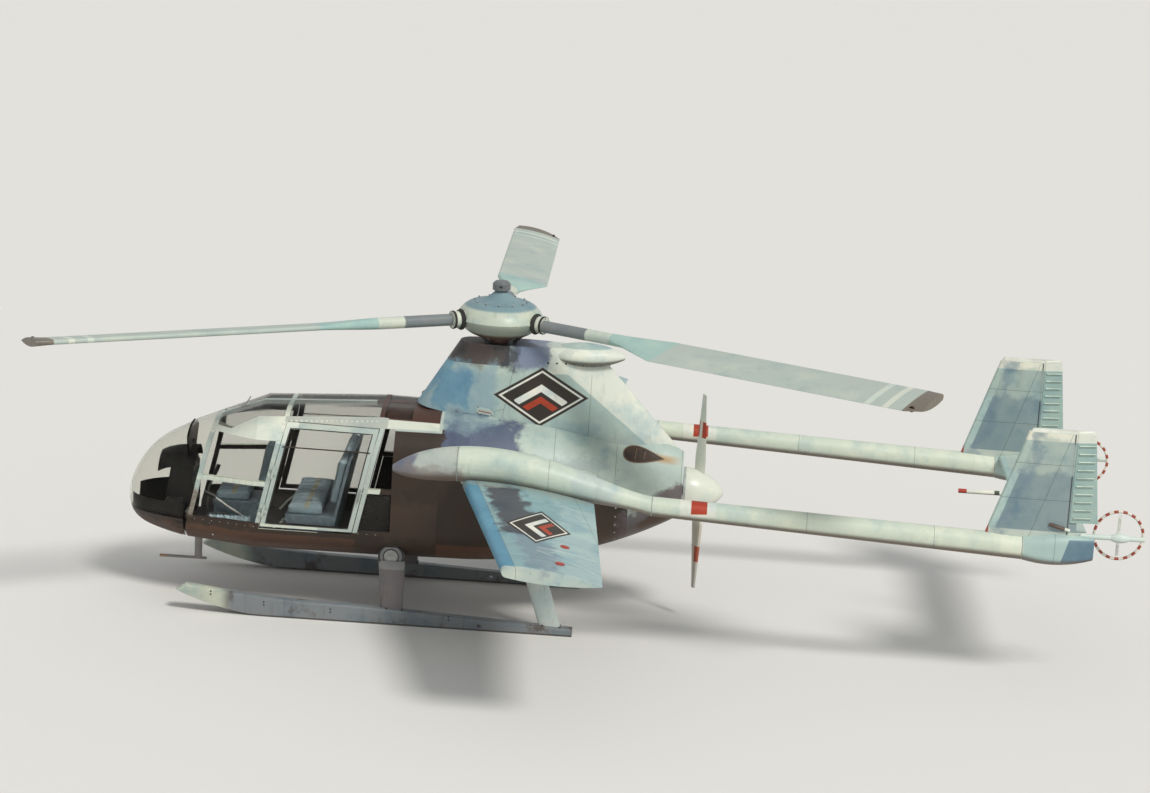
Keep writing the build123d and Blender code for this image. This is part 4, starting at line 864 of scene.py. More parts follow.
pedal_x = console_low.x - 0.02
PEDAL_Y, PEDAL_HALF, PEDAL_RISE = 0.27, 0.055, 0.15
pedals = []
for y in (-PEDAL_Y, PEDAL_Y):
    tread_x, tread_z = pedal_x + 0.06, floor_top + PEDAL_RISE
    pedals.append(bar([(pedal_x + 0.10, y, floor_top - 0.001), (tread_x, y, tread_z)], 0.012))
    pedals.append(bar([(tread_x, y - PEDAL_HALF, tread_z), (tread_x, y + PEDAL_HALF, tread_z)], 0.018, 10))
piece("rudder_pedals", pedals, "airframe", screw_steel)

# Ribbed air hose along the floor, held up on two round feet
HOSE_Y = 0.56
HOSE_R = 0.062
HOSE_Z = 0.85
RIB_R, RIB_STEP, RIB_COUNT = 0.008, 0.0345, 12
rib_circle = []
for i in range(24):
    turn = math.pi * i / 12
    rib_circle.append(HOSE_R * 0.9 * Vector((0, math.cos(turn), math.sin(turn))))
hose = [bar([(2.30 + 0.1 * i, HOSE_Y, HOSE_Z) for i in range(5)], HOSE_R - RIB_R, 20)]
for ring in range(RIB_COUNT):
    centre = Vector((2.31 + RIB_STEP * ring, HOSE_Y, HOSE_Z))
    hose.append(bar([centre + out for out in rib_circle], RIB_R, 6, closed=True))
piece("air_hose", hose, "airframe", plain_finish("hose_cloth", (0.34, 0.44, 0.50), 0.7))
feet = [bar([(x, HOSE_Y, floor_top - 0.001), (x, HOSE_Y, HOSE_Z - HOSE_R + 0.006)], 0.012) for x in (2.34, 2.66)]
piece("hose_feet", feet, "airframe", screw_steel)


# Seats: welded and painted sheet buckets with woven cloth cushions, and a lap belt and harness of webbing
# with a pressed buckle. The cushions swell by simulation from their plain solids.
def woven(name, light, dark, scale):
    """Plain-woven cloth: threads along all three axes, with faded patches."""
    finish, tree, shader = new_finish(name)
    place = own_place(tree)
    weave = None
    for direction in "XYZ":
        threads = lay(
            tree, "TexWave", {"bands_direction": direction}, Vector=place, Scale=scale, Distortion=0.6
        ).outputs[1]
        weave = threads if weave is None else reckon(tree, "MAXIMUM", weave, threads)
    patch = ramp(tree, cloud(tree, place, 7.0, 5.0), 0.3, 0.7)
    tone = blended(tree, reckon(tree, "MULTIPLY_ADD", weave, 0.45, reckon(tree, "MULTIPLY", patch, 0.5)), dark, light)
    tree.links.new(tone, shader.inputs["Base Color"])
    tree.links.new(ramp(tree, patch, 0.0, 1.0, 0.75, 0.92), shader.inputs["Roughness"])
    shader.inputs["Sheen Weight"].default_value = 0.25
    tree.links.new(
        lay(tree, "Bump", {}, Strength=0.5, Distance=0.001, Height=weave).outputs[0], shader.inputs["Normal"]
    )
    return finish


seat_cloth = woven("seat_cloth", (0.27, 0.36, 0.41), (0.12, 0.17, 0.21), 260.0)
belt_web = woven("belt_web", (0.33, 0.31, 0.22), (0.17, 0.16, 0.11), 420.0)
coat(plain_finish("seat_paint", (0.16, 0.21, 0.25), 0.5), "pilot_seat_frame", "rear_bench_frame")
SWELL_CAP = 0.016
SWELL_STEPS = 18


def stuffed(name, node, out, channels, voxel):
    """A cushion swollen by cloth simulation from its solid, then sewn into channels."""
    low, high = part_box(node)
    middle = (low + high) / 2
    mesh = nodes[node].data.copy()
    mesh.name = name
    shrink = [1 - 0.024 / max(high[i] - low[i], 0.08) for i in range(3)]
    for vertex in mesh.vertices:
        vertex.co = Vector([middle[i] + (vertex.co[i] - middle[i]) * shrink[i] for i in range(3)])
    cushion = bpy.data.objects.new(name, mesh)
    workshop = bpy.data.scenes.new("workshop")
    workshop.collection.objects.link(cushion)

    def settle():
        workshop.view_layers[0].update()
        held = bpy.data.meshes.new_from_object(cushion.evaluated_get(workshop.view_layers[0].depsgraph))
        cushion.modifiers.clear()
        cushion.data = held
        return held

    remesh = cushion.modifiers.new("remesh", "REMESH")
    remesh.mode = "VOXEL"
    remesh.voxel_size = voxel
    held = settle()
    start = [v.co.copy() for v in held.vertices]
    cloth = cushion.modifiers.new("cloth", "CLOTH")
    cloth.settings.use_pressure = True
    cloth.settings.uniform_pressure_force = 4.0
    cloth.settings.effector_weights.gravity = 0.0
    cloth.point_cache.frame_end = SWELL_STEPS
    for step in range(1, SWELL_STEPS + 1):
        workshop.frame_set(step)
    held = settle()
    workshop.frame_set(1)
    for vertex, from_co in zip(held.vertices, start):
        move = vertex.co - from_co
        if move.length > SWELL_CAP:
            vertex.co = from_co + move.normalized() * SWELL_CAP
    smoother = cushion.modifiers.new("smooth", "SUBSURF")
    smoother.levels = smoother.render_levels = 1
    held = settle()
    out = Vector(out).normalized()
    width = high.y - low.y
    faces_out = [vertex.normal.dot(out) > 0.3 for vertex in held.vertices]
    for vertex, faced in zip(held.vertices, faces_out):
        share = (vertex.co.y - low.y) / width * channels
        aside = abs(share - round(share)) * width / channels
        if faced and 0 < round(share) < channels:
            vertex.co -= out * 0.009 * math.exp(-((aside / 0.009) ** 2))
    held.shade_smooth()
    held.materials.clear()
    held.materials.append(seat_cloth)
    bpy.context.scene.collection.objects.link(cushion)
    bpy.data.scenes.remove(workshop)
    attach(cushion, "airframe")
    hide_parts(node)
    return cushion


RECLINE = math.radians(12)
BACK_OUT = (math.cos(RECLINE), 0, math.sin(RECLINE))
cushions = {
    "pilot_pan": stuffed("pilot_pan_cushion", "pilot_seat_pan_cushion", (0, 0, 1), 4, 0.010),
    "pilot_back": stuffed("pilot_back_cushion", "pilot_seat_back_cushion", BACK_OUT, 4, 0.010),
    "bench_pan": stuffed("bench_pan_cushion", "rear_bench_pan_cushion", (0, 0, 1), 9, 0.014),
    "bench_back": stuffed("bench_back_cushion", "rear_bench_back_cushion", BACK_OUT, 9, 0.014),
}


def webbing(cushion, starts, direction, lift, width_axis, width=0.045):
    """A strap laid on a cushion: points above it are dropped on its surface."""
    mesh = cushion.data
    tree = BVHTree.FromPolygons([v.co for v in mesh.vertices], [p.vertices[:] for p in mesh.polygons])
    rows = []
    for start in starts:
        hit = on_skin(tree, start, direction)
        if hit:
            rows.append(hit[0] - Vector(direction).normalized() * lift)
    axis = Vector(width_axis).normalized() * width / 2
    thick = Vector(direction).normalized() * 0.0022
    points, faces = [], []
    for spot in rows:
        points += [spot - axis, spot + axis, spot + axis + thick, spot - axis + thick]
    for i in range(len(rows) - 1):
        a = 4 * i
        for k in range(4):
            faces.append((a + k, a + (k + 1) % 4, a + 4 + (k + 1) % 4, a + 4 + k))
    faces += [(3, 2, 1, 0), tuple(range(4 * len(rows) - 4, 4 * len(rows)))]
    return points, faces


straps, buckles = [], []
for pan, rest, places in (("pilot_pan", "pilot_back", (0.0,)), ("bench_pan", "bench_back", (-0.38, 0.0, 0.38))):
    pan_box = [Vector(c) for c in cushions[pan].bound_box]
    x_rear = min(c.x for c in pan_box)
    top_z = max(c.z for c in pan_box)
    rest_box = [Vector(c) for c in cushions[rest].bound_box]
    rest_low, rest_high = min(c.z for c in rest_box), max(c.z for c in rest_box)
    rest_front = max(c.x for c in rest_box) + 0.3
    pan_tree = BVHTree.FromObject(cushions[pan], bpy.context.evaluated_depsgraph_get())
    for y in places:
        lap = [(x_rear + 0.15, y - 0.19 + 0.02 * i, top_z + 0.2) for i in range(20)]
        straps.append(webbing(cushions[pan], lap, (0, 0, -1), 0.004, (1, 0, 0)))
        spot = on_skin(pan_tree, (x_rear + 0.15, y, top_z + 0.2), (0, 0, -1))[0] + Vector((0, 0, 0.006))
        buckles.append(turned(spot, (0, 0, 1), [(0, 0.034), (0.008, 0.034), (0.012, 0.026), (0.013, 0.006)], 20))
        for shift in (-0.09, 0.09):
            over = []
            for i in range(15):
                z = rest_low + 0.06 + (rest_high - rest_low - 0.10) * i / 14
                over.append((rest_front, y + shift * (0.45 + 0.55 * i / 14), z))
            straps.append(webbing(cushions[rest], over, (-1, 0, 0), 0.004, (0, 1, 0)))
piece("seat_belts", straps, "airframe", belt_web, smooth=False)
piece("belt_buckles", buckles, "airframe", screw_steel)

# Pale welded tubes that brace the bench and the step beside the doorway
brace_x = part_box("rear_bench_frame")[1].x + 0.03
braces = []
BRACE_Y = 0.50
UPRIGHT = ((0.0, -0.001), (0.0, 0.19), (-0.05, 0.21))
STEP_TUBE = ((0.16, 0.004), (0.08, 0.10), (0.0, 0.17))
for y in (-BRACE_Y, BRACE_Y):
    for path, radius in ((UPRIGHT, 0.013), (STEP_TUBE, 0.011)):
        braces.append(bar([(brace_x + dx, y, floor_top + dz) for dx, dz in path], radius))
braces.append(bar([(brace_x, -BRACE_Y, floor_top + 0.14), (brace_x, BRACE_Y, floor_top + 0.14)], 0.011))
piece("bench_braces", braces, "airframe", plain_finish("tube_pale", (0.50, 0.55, 0.50), 0.45))


# Engine: a cast radial engine behind the firewall, out of sight in its cowl.
coat(plain_finish("engine_castings", (0.16, 0.16, 0.165), 0.5, metal=0.6, grain=18.0, bump=0.6), "engine_block")


# Engine cowl: the pod's rear half, rolled sheet in pale grey-green above the wing and near-black brown under it,
# partly dark paint and partly painted shade.
# Each side has a flush pointed exhaust port with a burnt streak behind it, and rows of turn fasteners.
COWL_PALE = (0.46, 0.555, 0.50)
# Dark brown for the cowl's streaks and for the painted shade where it faces down.
COWL_GRIME_AND_SHADE = (0.10, 0.062, 0.042, 1)
cowl_zones = [
    # Both near-black brown zones: partly dark paint, partly painted shade under the wing and the nacelles' noses.
    ([(ALONG, -1.36, None), ((-0.16, 0, 1), None, 1.52)], POD_BROWN),
    ([(ALONG, 0.20, None), (UP, None, 1.90)], POD_BROWN),
    ([(ALONG, -1.36, None), (UP, None, 0.80)], POD_RED_BROWN),
]
cowl_stains_and_shade = [
    # Painted shade in blue-violet under the pylon's front lip.
    ([(ALONG, -0.30, 0.44), (UP, 1.70, 1.98)], (0.085, 0.11, 0.18), 0.95),
    ([(ALONG, 0.0, 0.5), (UP, 1.90, 2.2)], (0.20, 0.29, 0.34), 0.7),
    # This patch and the next: painted shade on the lower rear of the cowl, by the propeller.
    ([(ALONG, None, -1.30), ((0.55, 0, 1), None, 0.42)], (0.13, 0.10, 0.11), 0.9),
    ([(ALONG, None, -1.45), ((0.55, 0, 1), None, 0.26)], (0.07, 0.035, 0.02), 0.9),
    ([(ALONG, -1.12, -0.35), (UP, 1.55, 1.72)], (0.26, 0.33, 0.36), 0.5),
]
PORT_FRONT = Vector((-1.285, 0, 1.722))
PORT_RUN = Vector((-1, 0, -0.165)).normalized()
PORT_RISE = Vector((-PORT_RUN.z, 0, PORT_RUN.x))
PORT_LENGTH = 0.40
PORT_HALF = 0.066
STREAKS = (  # start, end and half width along the streak, colour, strength
    (0.18, 0.62, 0.050, (0.42, 0.27, 0.11), 0.9),
    (0.28, 0.50, 0.020, (0.30, 0.12, 0.03), 0.9),
    (-0.02, 0.10, 0.085, (0.30, 0.34, 0.31), 0.5),
)


def burnt_streak(tree, place, tone):
    """Rust and soot that trail off behind the exhaust port."""
    off = lay(tree, "VectorMath", {"operation": "SUBTRACT"}, place, tuple(PORT_FRONT)).outputs[0]
    run = run_along(tree, off, tuple(PORT_RUN))
    rise = reckon(tree, "ABSOLUTE", run_along(tree, off, (PORT_RUN.z, 0, -PORT_RUN.x)))
    upper = reckon(tree, "GREATER_THAN", parted(tree, place)[2], 1.45)
    for start, end, half, colour, share in STREAKS:
        along = reckon(
            tree, "MULTIPLY", ramp(tree, run, start, start + 0.06), ramp(tree, run, end - 0.20, end, 1.0, 0.0)
        )
        wide = ramp(tree, reckon(tree, "DIVIDE", rise, half), 0.25, 1.0, 1.0, 0.0)
        mask = reckon(tree, "MULTIPLY", reckon(tree, "MULTIPLY", along, wide), reckon(tree, "MULTIPLY", upper, share))
        tone = blended(tree, mask, tone, colour)
    return tone


cowl_joints = [
    (ALONG, -0.62, UP, None),
    (ALONG, -1.22, UP, None),
    ((-0.16, 0, 1), 1.30, ALONG, [(ALONG, -1.22, None)]),
    (ALONG, -1.86, UP, None),
]
cowl_paint = skin_paint(
    "cowl_paint", COWL_PALE, cowl_zones, cowl_stains_and_shade, cowl_joints, burnt_streak,
    Mottling=0.6, Streaking=0.10, Underside=0.6, Grime=COWL_GRIME_AND_SHADE,
)
coat(cowl_paint, "engine_cowl")

# Tail spine: the beaten fairing that carries the pylon's foot back along the pod's roof to the propeller,
# in the cowl's own paint, blended into the roof on both sides.
SPINE_ROWS = [  # x, height of its ridge, half width
    (-0.95, 1.850, 0.20), (-1.10, 1.832, 0.25), (-1.25, 1.822, 0.28), (-1.40, 1.816, 0.29), (-1.55, 1.808, 0.285),
    (-1.66, 1.797, 0.27), (-1.74, 1.777, 0.255), (-1.81, 1.744, 0.24), (-1.878, 1.700, 0.225),
]
SPINE_WIDE = 24
cowl_roof = skin_tree("engine_cowl")
spine_top, spine_foot = [], []
for x, ridge_z, half_width in SPINE_ROWS:
    steps = [2 * step / SPINE_WIDE - 1 for step in range(SPINE_WIDE + 1)]
    roof = [on_skin(cowl_roof, (x, across * half_width, 3.0), (0, 0, -1))[0] for across in steps]
    rise = max(ridge_z - max(spot.z for spot in roof), 0.004)
    swell = [Vector((0, 0, rise * (1 - across * across) ** 1.5 - 0.002)) for across in steps]
    spine_top.append([spot + up for spot, up in zip(roof, swell)])
    spine_foot.append([spot - Vector((0, 0, 0.008)) for spot in roof])
piece("tail_spine", [closed_grid(spine_top, spine_foot)], "airframe", cowl_paint)
cowl_skin = skin_tree("engine_cowl", "rotor_pylon", "tail_spine")
burnt_steel = plain_finish("burnt_steel", (0.055, 0.032, 0.020), 0.6, metal=0.2, spread=0.3)
burnt_lip = plain_finish("burnt_lip", (0.22, 0.15, 0.095), 0.5, metal=0.3)
PORT_STEPS = 36
PORT_FULL, PORT_TAPER, PORT_MIDDLE = 1.32, 0.62, 0.36
PORT_RINGS = ((1.0, 0.0035), (0.82, 0.002), (0.6, 0.0015), (0.38, 0.0015), (0.16, 0.0015))  # scale, lift


def port_ring(scale):
    """The exhaust port's outline on the skin, drawn in towards its middle: blunt ahead and pointed behind."""
    ring = []
    for i in range(PORT_STEPS):
        turn = 2 * math.pi * i / PORT_STEPS
        share = 0.5 - 0.5 * math.cos(turn)
        half = PORT_FULL * PORT_HALF * math.sin(turn) * (1 - share) ** PORT_TAPER
        share = PORT_MIDDLE + (share - PORT_MIDDLE) * scale
        spot = PORT_FRONT + PORT_RUN * PORT_LENGTH * share + PORT_RISE * -half * scale
        ring.append(on_skin(cowl_skin, (spot.x, 2, spot.z), INWARD))
    return ring


port_rows = [port_ring(scale) for scale, _ in PORT_RINGS]
mouth_points = []
for row, (_, lift) in zip(port_rows, PORT_RINGS):
    mouth_points += [spot + normal * lift for spot, normal in row]
mouth_faces = []
for ring in range(len(port_rows) - 1):
    for i in range(PORT_STEPS):
        a, b = ring * PORT_STEPS + i, ring * PORT_STEPS + (i + 1) % PORT_STEPS
        mouth_faces.append((a, b, b + PORT_STEPS, a + PORT_STEPS))
mouth_faces.append(tuple(range((len(port_rows) - 1) * PORT_STEPS, len(port_rows) * PORT_STEPS)))
piece("exhaust_mouths", mirrored([(mouth_points, mouth_faces)]), "airframe", burnt_steel)
lip = [bar([spot for spot, _ in port_rows[0]], 0.0065, 8, closed=True)]
for share in (0.30, 0.52):
    slat = []
    for step in (-0.8, -0.4, 0.0, 0.4, 0.8):
        spot = PORT_FRONT + PORT_RUN * PORT_LENGTH * share + PORT_RISE * step * PORT_HALF * (1 - share * 0.75)
        hit = on_skin(cowl_skin, (spot.x, 2, spot.z), INWARD)
        slat.append(hit[0] + hit[1] * 0.003)
    lip.append(bar(slat, 0.004, 8))
piece("exhaust_lips", mirrored(lip), "airframe", burnt_lip)

FASTENER_SPOTS = [(x, 3, 0.86 + 0.09 * step) for x in (-0.595, -1.245) for step in range(9)]
piece(
    "cowl_fasteners", mirrored(heads_on(cowl_skin, FASTENER_SPOTS, INWARD, 0.009, 0.003)), "airframe", screw_steel,
)


# Rotor pylon: a sheet fairing round the mast, pale blue-green with a white tail and a painted shadow of the rotor
# head in dark brown-grey over its upper front, a plain lozenge mark on each side, and a white canoe fairing on its
# shoulders with a row of dark screws.
marking, given, put = new_group(
    "Lozenge mark",
    [("Run", "Float", 0.0), ("Rise", "Float", 0.0), ("Half", "Float", 0.3)],
    [("Dark", "Float"), ("Pale", "Float"), ("Red", "Float")],
)
run = reckon(marking, "ABSOLUTE", reckon(marking, "DIVIDE", given["Run"], given["Half"]))
rise = reckon(marking, "DIVIDE", given["Rise"], given["Half"])
spread = reckon(marking, "MULTIPLY_ADD", run, 0.62, reckon(marking, "ABSOLUTE", rise))
chevron = reckon(marking, "MULTIPLY_ADD", run, 0.62, rise)
inside = ramp(marking, run, 0.86, 0.90, 1.0, 0.0)
inner = ramp(marking, spread, 0.70, 0.73, 1.0, 0.0)


def between(value, low, high):
    """1 where a value lies between two limits in the mark."""
    return reckon(
        marking, "MULTIPLY", ramp(marking, value, low, low + 0.03),
        ramp(marking, value, high - 0.03, high, 1.0, 0.0),
    )


marking.links.new(ramp(marking, spread, 0.97, 1.0, 1.0, 0.0), put["Dark"])
white_chevron = reckon(marking, "MULTIPLY", reckon(marking, "MULTIPLY", between(chevron, 0.16, 0.44), inside), inner)
marking.links.new(reckon(marking, "MAXIMUM", white_chevron, between(spread, 0.80, 0.90)), put["Pale"])
red_chevron = reckon(marking, "MULTIPLY", reckon(marking, "MULTIPLY", between(chevron, -0.22, 0.04), inside), inner)
marking.links.new(red_chevron, put["Red"])
MARK_DARK, MARK_PALE, MARK_RED = (0.035, 0.026, 0.020), (0.80, 0.80, 0.72), (0.42, 0.05, 0.02)


def marked(centre, run_axis, rise_axis, half, top_only=False):
    """Paints a lozenge mark over a surface, centred on a point."""
    def paint(tree, place, tone):
        off = lay(tree, "VectorMath", {"operation": "SUBTRACT"}, place, centre).outputs[0]
        run, rise = run_along(tree, off, run_axis), run_along(tree, off, rise_axis)
        mark = lay(tree, "Group", {"node_tree": marking}, Run=run, Rise=rise, Half=half)
        up = ramp(tree, parted(tree, lay(tree, "TexCoord", {}).outputs["Normal"])[2], 0.2, 0.4)
        for label, colour in (("Dark", MARK_DARK), ("Pale", MARK_PALE), ("Red", MARK_RED)):
            share = mark.outputs[label]
            if top_only:
                share = reckon(tree, "MULTIPLY", share, up)
            tone = blended(tree, share, tone, colour)
        return tone
    return paint


PYLON_PALE = (0.42, 0.53, 0.49)
PYLON_HUB_SHADOW = (0.080, 0.073, 0.070)
TAIL_LINE = (0.633, 0, -0.774)
pylon_zones = [
    ([((-0.79, 0, -0.61), None, -1.84)], (0.13, 0.36, 0.50)),
    # Painted shadow of the rotor head over the pylon's upper front.
    ([(UP, 2.497, 2.70), (ALONG, -0.12, None), ((-0.79, 0, -0.61), -1.95, None)], PYLON_HUB_SHADOW),
    ([(TAIL_LINE, None, -2.33), (UP, 1.72, 2.69)], (0.72, 0.75, 0.66)),
    ([(ALONG, None, -0.50), (UP, 2.44, 2.69), (OUT, 0.125, None)], (0.72, 0.76, 0.67)),
]
pylon_stains_and_shade = [
    ([(ALONG, -0.02, None), (UP, 1.95, 2.49)], (0.24, 0.37, 0.44), 0.65),
    ([(ALONG, 0.24, 0.60), (UP, 2.05, 2.42)], (0.12, 0.28, 0.40), 0.8),
    ([(UP, 2.50, None), (ALONG, -0.52, -0.14)], (0.17, 0.20, 0.32), 0.85),
    # This patch and the next: painted shadow of the rotor head and a blade on the pylon's top.
    ([(UP, 2.46, 2.72), (ALONG, -0.20, -0.06)], (0.05, 0.055, 0.07), 0.9),
    ([(UP, 2.52, None), (ALONG, 0.1, 0.3)], (0.14, 0.10, 0.09), 0.7),
    # Painted shade in blue-violet under the pylon's front lip.
    ([(ALONG, -0.06, 0.42), (UP, 1.70, 1.99)], (0.085, 0.11, 0.18), 0.95),
    ([(ALONG, -1.05, -0.1), (UP, 1.78, 1.98)], (0.28, 0.38, 0.40), 0.55),
    ([(ALONG, -1.6, -0.95), (UP, 1.7, 1.86)], (0.30, 0.36, 0.36), 0.4),
]
pylon_joints = [
    (UP, 2.497, ALONG, [(ALONG, -0.12, None)]),
    ((0.30, 0, 1), 2.05, ALONG, [(ALONG, -0.10, None)]),
    ((1, 0, 0.18), 0.275, UP, [(UP, None, 2.49)]),
    (ALONG, -0.93, UP, [(UP, None, 2.44)]),
]
pylon_paint = skin_paint(
    "pylon_paint", PYLON_PALE, pylon_zones, pylon_stains_and_shade, pylon_joints,
    marked((-0.45, 0, 2.215), (1, 0, 0), (0, 0, 1), 0.29), Mottling=0.75, Streaking=0.14, Underside=0.85,
)
coat(pylon_paint, "rotor_pylon")
pylon_skin = skin_tree("rotor_pylon")
dark_steel = plain_finish("dark_steel", (0.06, 0.06, 0.065), 0.45, metal=0.5)
CANOE_ROW = [(-0.50 - 0.085 * step, 2, 2.545 - 0.002 * step) for step in range(8)]
TOP_ROW = [(0.30 - 0.07 * step, 2, 2.66) for step in range(6)]
canoe_screws = heads_on(pylon_skin, CANOE_ROW, INWARD, 0.010, 0.004)
canoe_screws += heads_on(pylon_skin, TOP_ROW, INWARD, 0.006, 0.003)
piece("canoe_screws", mirrored(canoe_screws), "airframe", dark_steel)

# Access doors on the pylon's flanks, thin sheets held by screws; the front one has a red line along its top
door_forms, line_forms, catches = [], [], []
for x0, x1, z0, z1, sag in ((0.165, 0.005, 1.945, 2.065, 0.02), (-0.60, -0.70, 1.845, 1.90, 0.0)):
    corners = [(x0, 2, z0 + sag), (x1, 2, z0), (x1, 2, z1), (x0, 2, z1 + sag)]
    rows = cast_patch(pylon_skin, corners, 6, 6, (0, -1, 0))
    if len(rows) > 1:
        door_forms.append(laid_sheet(rows, 0.0025, 0.0025))
        for row in (rows[0], rows[-1]):
            for spot, normal in (row[0], row[-1]):
                inward = (rows[len(rows) // 2][len(row) // 2][0] - spot) * 0.14
                catches.append(head(spot + inward + normal * 0.002, normal, 0.006, 0.003))
line_corners = [(0.15, 2, 2.042), (0.02, 2, 2.025), (0.02, 2, 2.036), (0.15, 2, 2.053)]
line_forms.append(laid_sheet(cast_patch(pylon_skin, line_corners, 6, 1, (0, -1, 0)), 0.0034, 0.002))
piece(
    "pylon_doors", mirrored(door_forms), "airframe",
    plain_finish("door_pale", (0.52, 0.62, 0.58), 0.45, grain=6.0),
)
piece(
    "pylon_red_lines", mirrored(line_forms), "airframe", plain_finish("line_red", (0.34, 0.14, 0.12), 0.5),
)
piece("pylon_catches", mirrored(catches), "airframe", dark_steel)


# Rotor head: a spun dome round the hub with dark boots on the three blade cuffs, ring bolts under the cap,
# and pitch links down to the pylon's top plate.
HEAD_CREAM = (0.54, 0.60, 0.50)


def from_axis(tree):
    """The distance from the rotor's axis, and the point itself."""
    spot = parted(tree, own_place(tree))
    level = lay(tree, "CombineXYZ", {}, spot[0], spot[1], 0.0).outputs[0]
    return lay(tree, "VectorMath", {"operation": "LENGTH"}, level).outputs["Value"], spot


def head_rings(tree, place, tone):
    """Bands round the head: grey crown and cap, dirty belly, pale cuffs."""
    reach, spot = from_axis(tree)
    for low, high, colour in (
        (3.035, 3.060, (0.20, 0.31, 0.34)),
        (3.19, 3.20, (0.15, 0.16, 0.17)),
        (2.83, 2.79, (0.13, 0.075, 0.05)),
    ):
        tone = blended(tree, ramp(tree, spot[2], low, high), tone, colour)
    return blended(tree, ramp(tree, reach, 0.432, 0.436), tone, (0.60, 0.65, 0.56))


coat(
    skin_paint("head_paint", HEAD_CREAM, extra=head_rings, Mottling=0.6, Streaking=0.16, Underside=0.5, Gloss=0.36),
    "rotor_head",
)
INNER_BOOT = [(0, 0.100), (0.014, 0.104), (0.028, 0.096), (0.040, 0.090)]
OUTER_BOOT = [(0, 0.088), (0.010, 0.090), (0.022, 0.087)]
CUFF_BOLT = [(0, 0.008), (0.010, 0.008), (0.012, 0.006)]
HUB_BOLT = [(0, 0.009), (0.012, 0.009), (0.015, 0.006)]
LINK_FOOT = [(0, 0.022), (0.02, 0.022), (0.026, 0.014)]
HUB_BOLT_R, HUB_BOLT_LEAN, HUB_BOLT_Z = 0.255, 0.15, 3.092
boots, bolts, links = [], [], []
HUB_Z = 2.93
BLADE_TURNS = [math.radians(a) for a in (-90, 30, 150)]
for turn in BLADE_TURNS:
    out = Vector((math.cos(turn), math.sin(turn), 0))
    hub = Vector((0, 0, HUB_Z))
    boots.append(turned(out * 0.412 + hub, out, INNER_BOOT, 28))
    boots.append(turned(out * 0.497 + hub, out, OUTER_BOOT, 28))
    for k in range(6):
        a = math.radians(60 * k)
        ring = Vector((0, 0, 1)) * math.cos(a) + out.cross(Vector((0, 0, 1))) * math.sin(a)
        bolts.append(turned(out * 0.517 + hub + ring * 0.070, out, CUFF_BOLT, 6))
    side = Vector((-out.y, out.x, 0))
    foot = out * 0.15 + side * 0.06 + Vector((0, 0, 2.705))
    links.append(bar([foot, out * 0.33 + side * 0.10 + Vector((0, 0, 2.86))], 0.013, 10))
    links.append(turned(foot - Vector((0, 0, 0.012)), (0, 0, 1), LINK_FOOT, 12))
for k in range(12):
    x, y = math.cos(math.radians(30 * k)), math.sin(math.radians(30 * k))
    spot = (HUB_BOLT_R * x, HUB_BOLT_R * y, HUB_BOLT_Z)
    bolts.append(turned(spot, (HUB_BOLT_LEAN * x, HUB_BOLT_LEAN * y, 1), HUB_BOLT, 6))
piece("cuff_boots", boots, "main_rotor", door_rubber)
piece("hub_bolts", bolts, "main_rotor", screw_steel)
piece("pitch_links", links, "main_rotor", dark_steel)


# Rotor blades: steel spar and sheet skin in pale paint, with a dark sealed shank, a turquoise root fairing,
# a worn bare leading edge, and a white band inboard of each tip jet.
def blade_bands(tree, place, tone):
    """Bands across a blade, by their distance from the rotor's axis."""
    reach, _ = from_axis(tree)
    for low, high, colour in (
        (0.5, 1.02, (0.20, 0.225, 0.23)),
        (1.02, 1.30, (0.60, 0.65, 0.55)),
        (1.30, 1.95, (0.38, 0.55, 0.50)),
        (4.18, 4.24, (0.62, 0.69, 0.60)),
        (4.36, 4.42, (0.66, 0.70, 0.60)),
        (4.56, 4.80, (0.19, 0.165, 0.13)),
    ):
        mask = reckon(
            tree, "MULTIPLY", ramp(tree, reach, low, low + 0.015),
            ramp(tree, reach, high, high + 0.015, 1.0, 0.0),
        )
        tone = blended(tree, mask, tone, colour)
    return tone


coat(
    skin_paint(
        "blade_paint", (0.46, 0.53, 0.475), extra=blade_bands, Mottling=0.45, Streaking=0.08, Underside=0.2,
        Gloss=0.36,
    ),
    "rotor_blade_1", "rotor_blade_2", "rotor_blade_3",
)
tip_jets = []
for turn in BLADE_TURNS:
    out = Vector((math.cos(turn), math.sin(turn), 0))
    trail = Vector((math.sin(turn), -math.cos(turn), 0))
    tip_low = out * 4.62 + Vector((0, 0, HUB_Z)) + trail * 0.275 - Vector((0, 0, 0.043))
    tip_jets.append(turned(tip_low, trail, [(0, 0.026), (0.022, 0.028), (0.026, 0.024), (0.012, 0.020)], 18))
piece("tip_nozzles", tip_jets, "main_rotor", burnt_steel)


# Propeller: two forged blades, white with a red and white band, behind a spun white spinner.
def prop_bands(tree, place, tone):
    """A red band with a cream middle on each blade, and a brown tint on the lower one as painted shade."""
    spot = parted(tree, own_place(tree))
    reach = reckon(tree, "ABSOLUTE", reckon(tree, "SUBTRACT", spot[2], 1.31))
    red = reckon(tree, "MULTIPLY", ramp(tree, reach, 0.545, 0.555), ramp(tree, reach, 0.705, 0.715, 1.0, 0.0))
    middle = reckon(tree, "MULTIPLY", red, ramp(tree, reckon(tree, "ABSOLUTE", spot[1]), 0.018, 0.022, 1.0, 0.0))
    tone = blended(tree, red, tone, (0.42, 0.05, 0.02))
    tone = blended(tree, middle, tone, (0.74, 0.72, 0.62))
    # Painted shade: the lower blade is tinted brown under the hub.
    low = ramp(tree, spot[2], 1.05, 0.95)
    return blended(tree, reckon(tree, "MULTIPLY", low, 0.35), tone, (0.34, 0.18, 0.10))


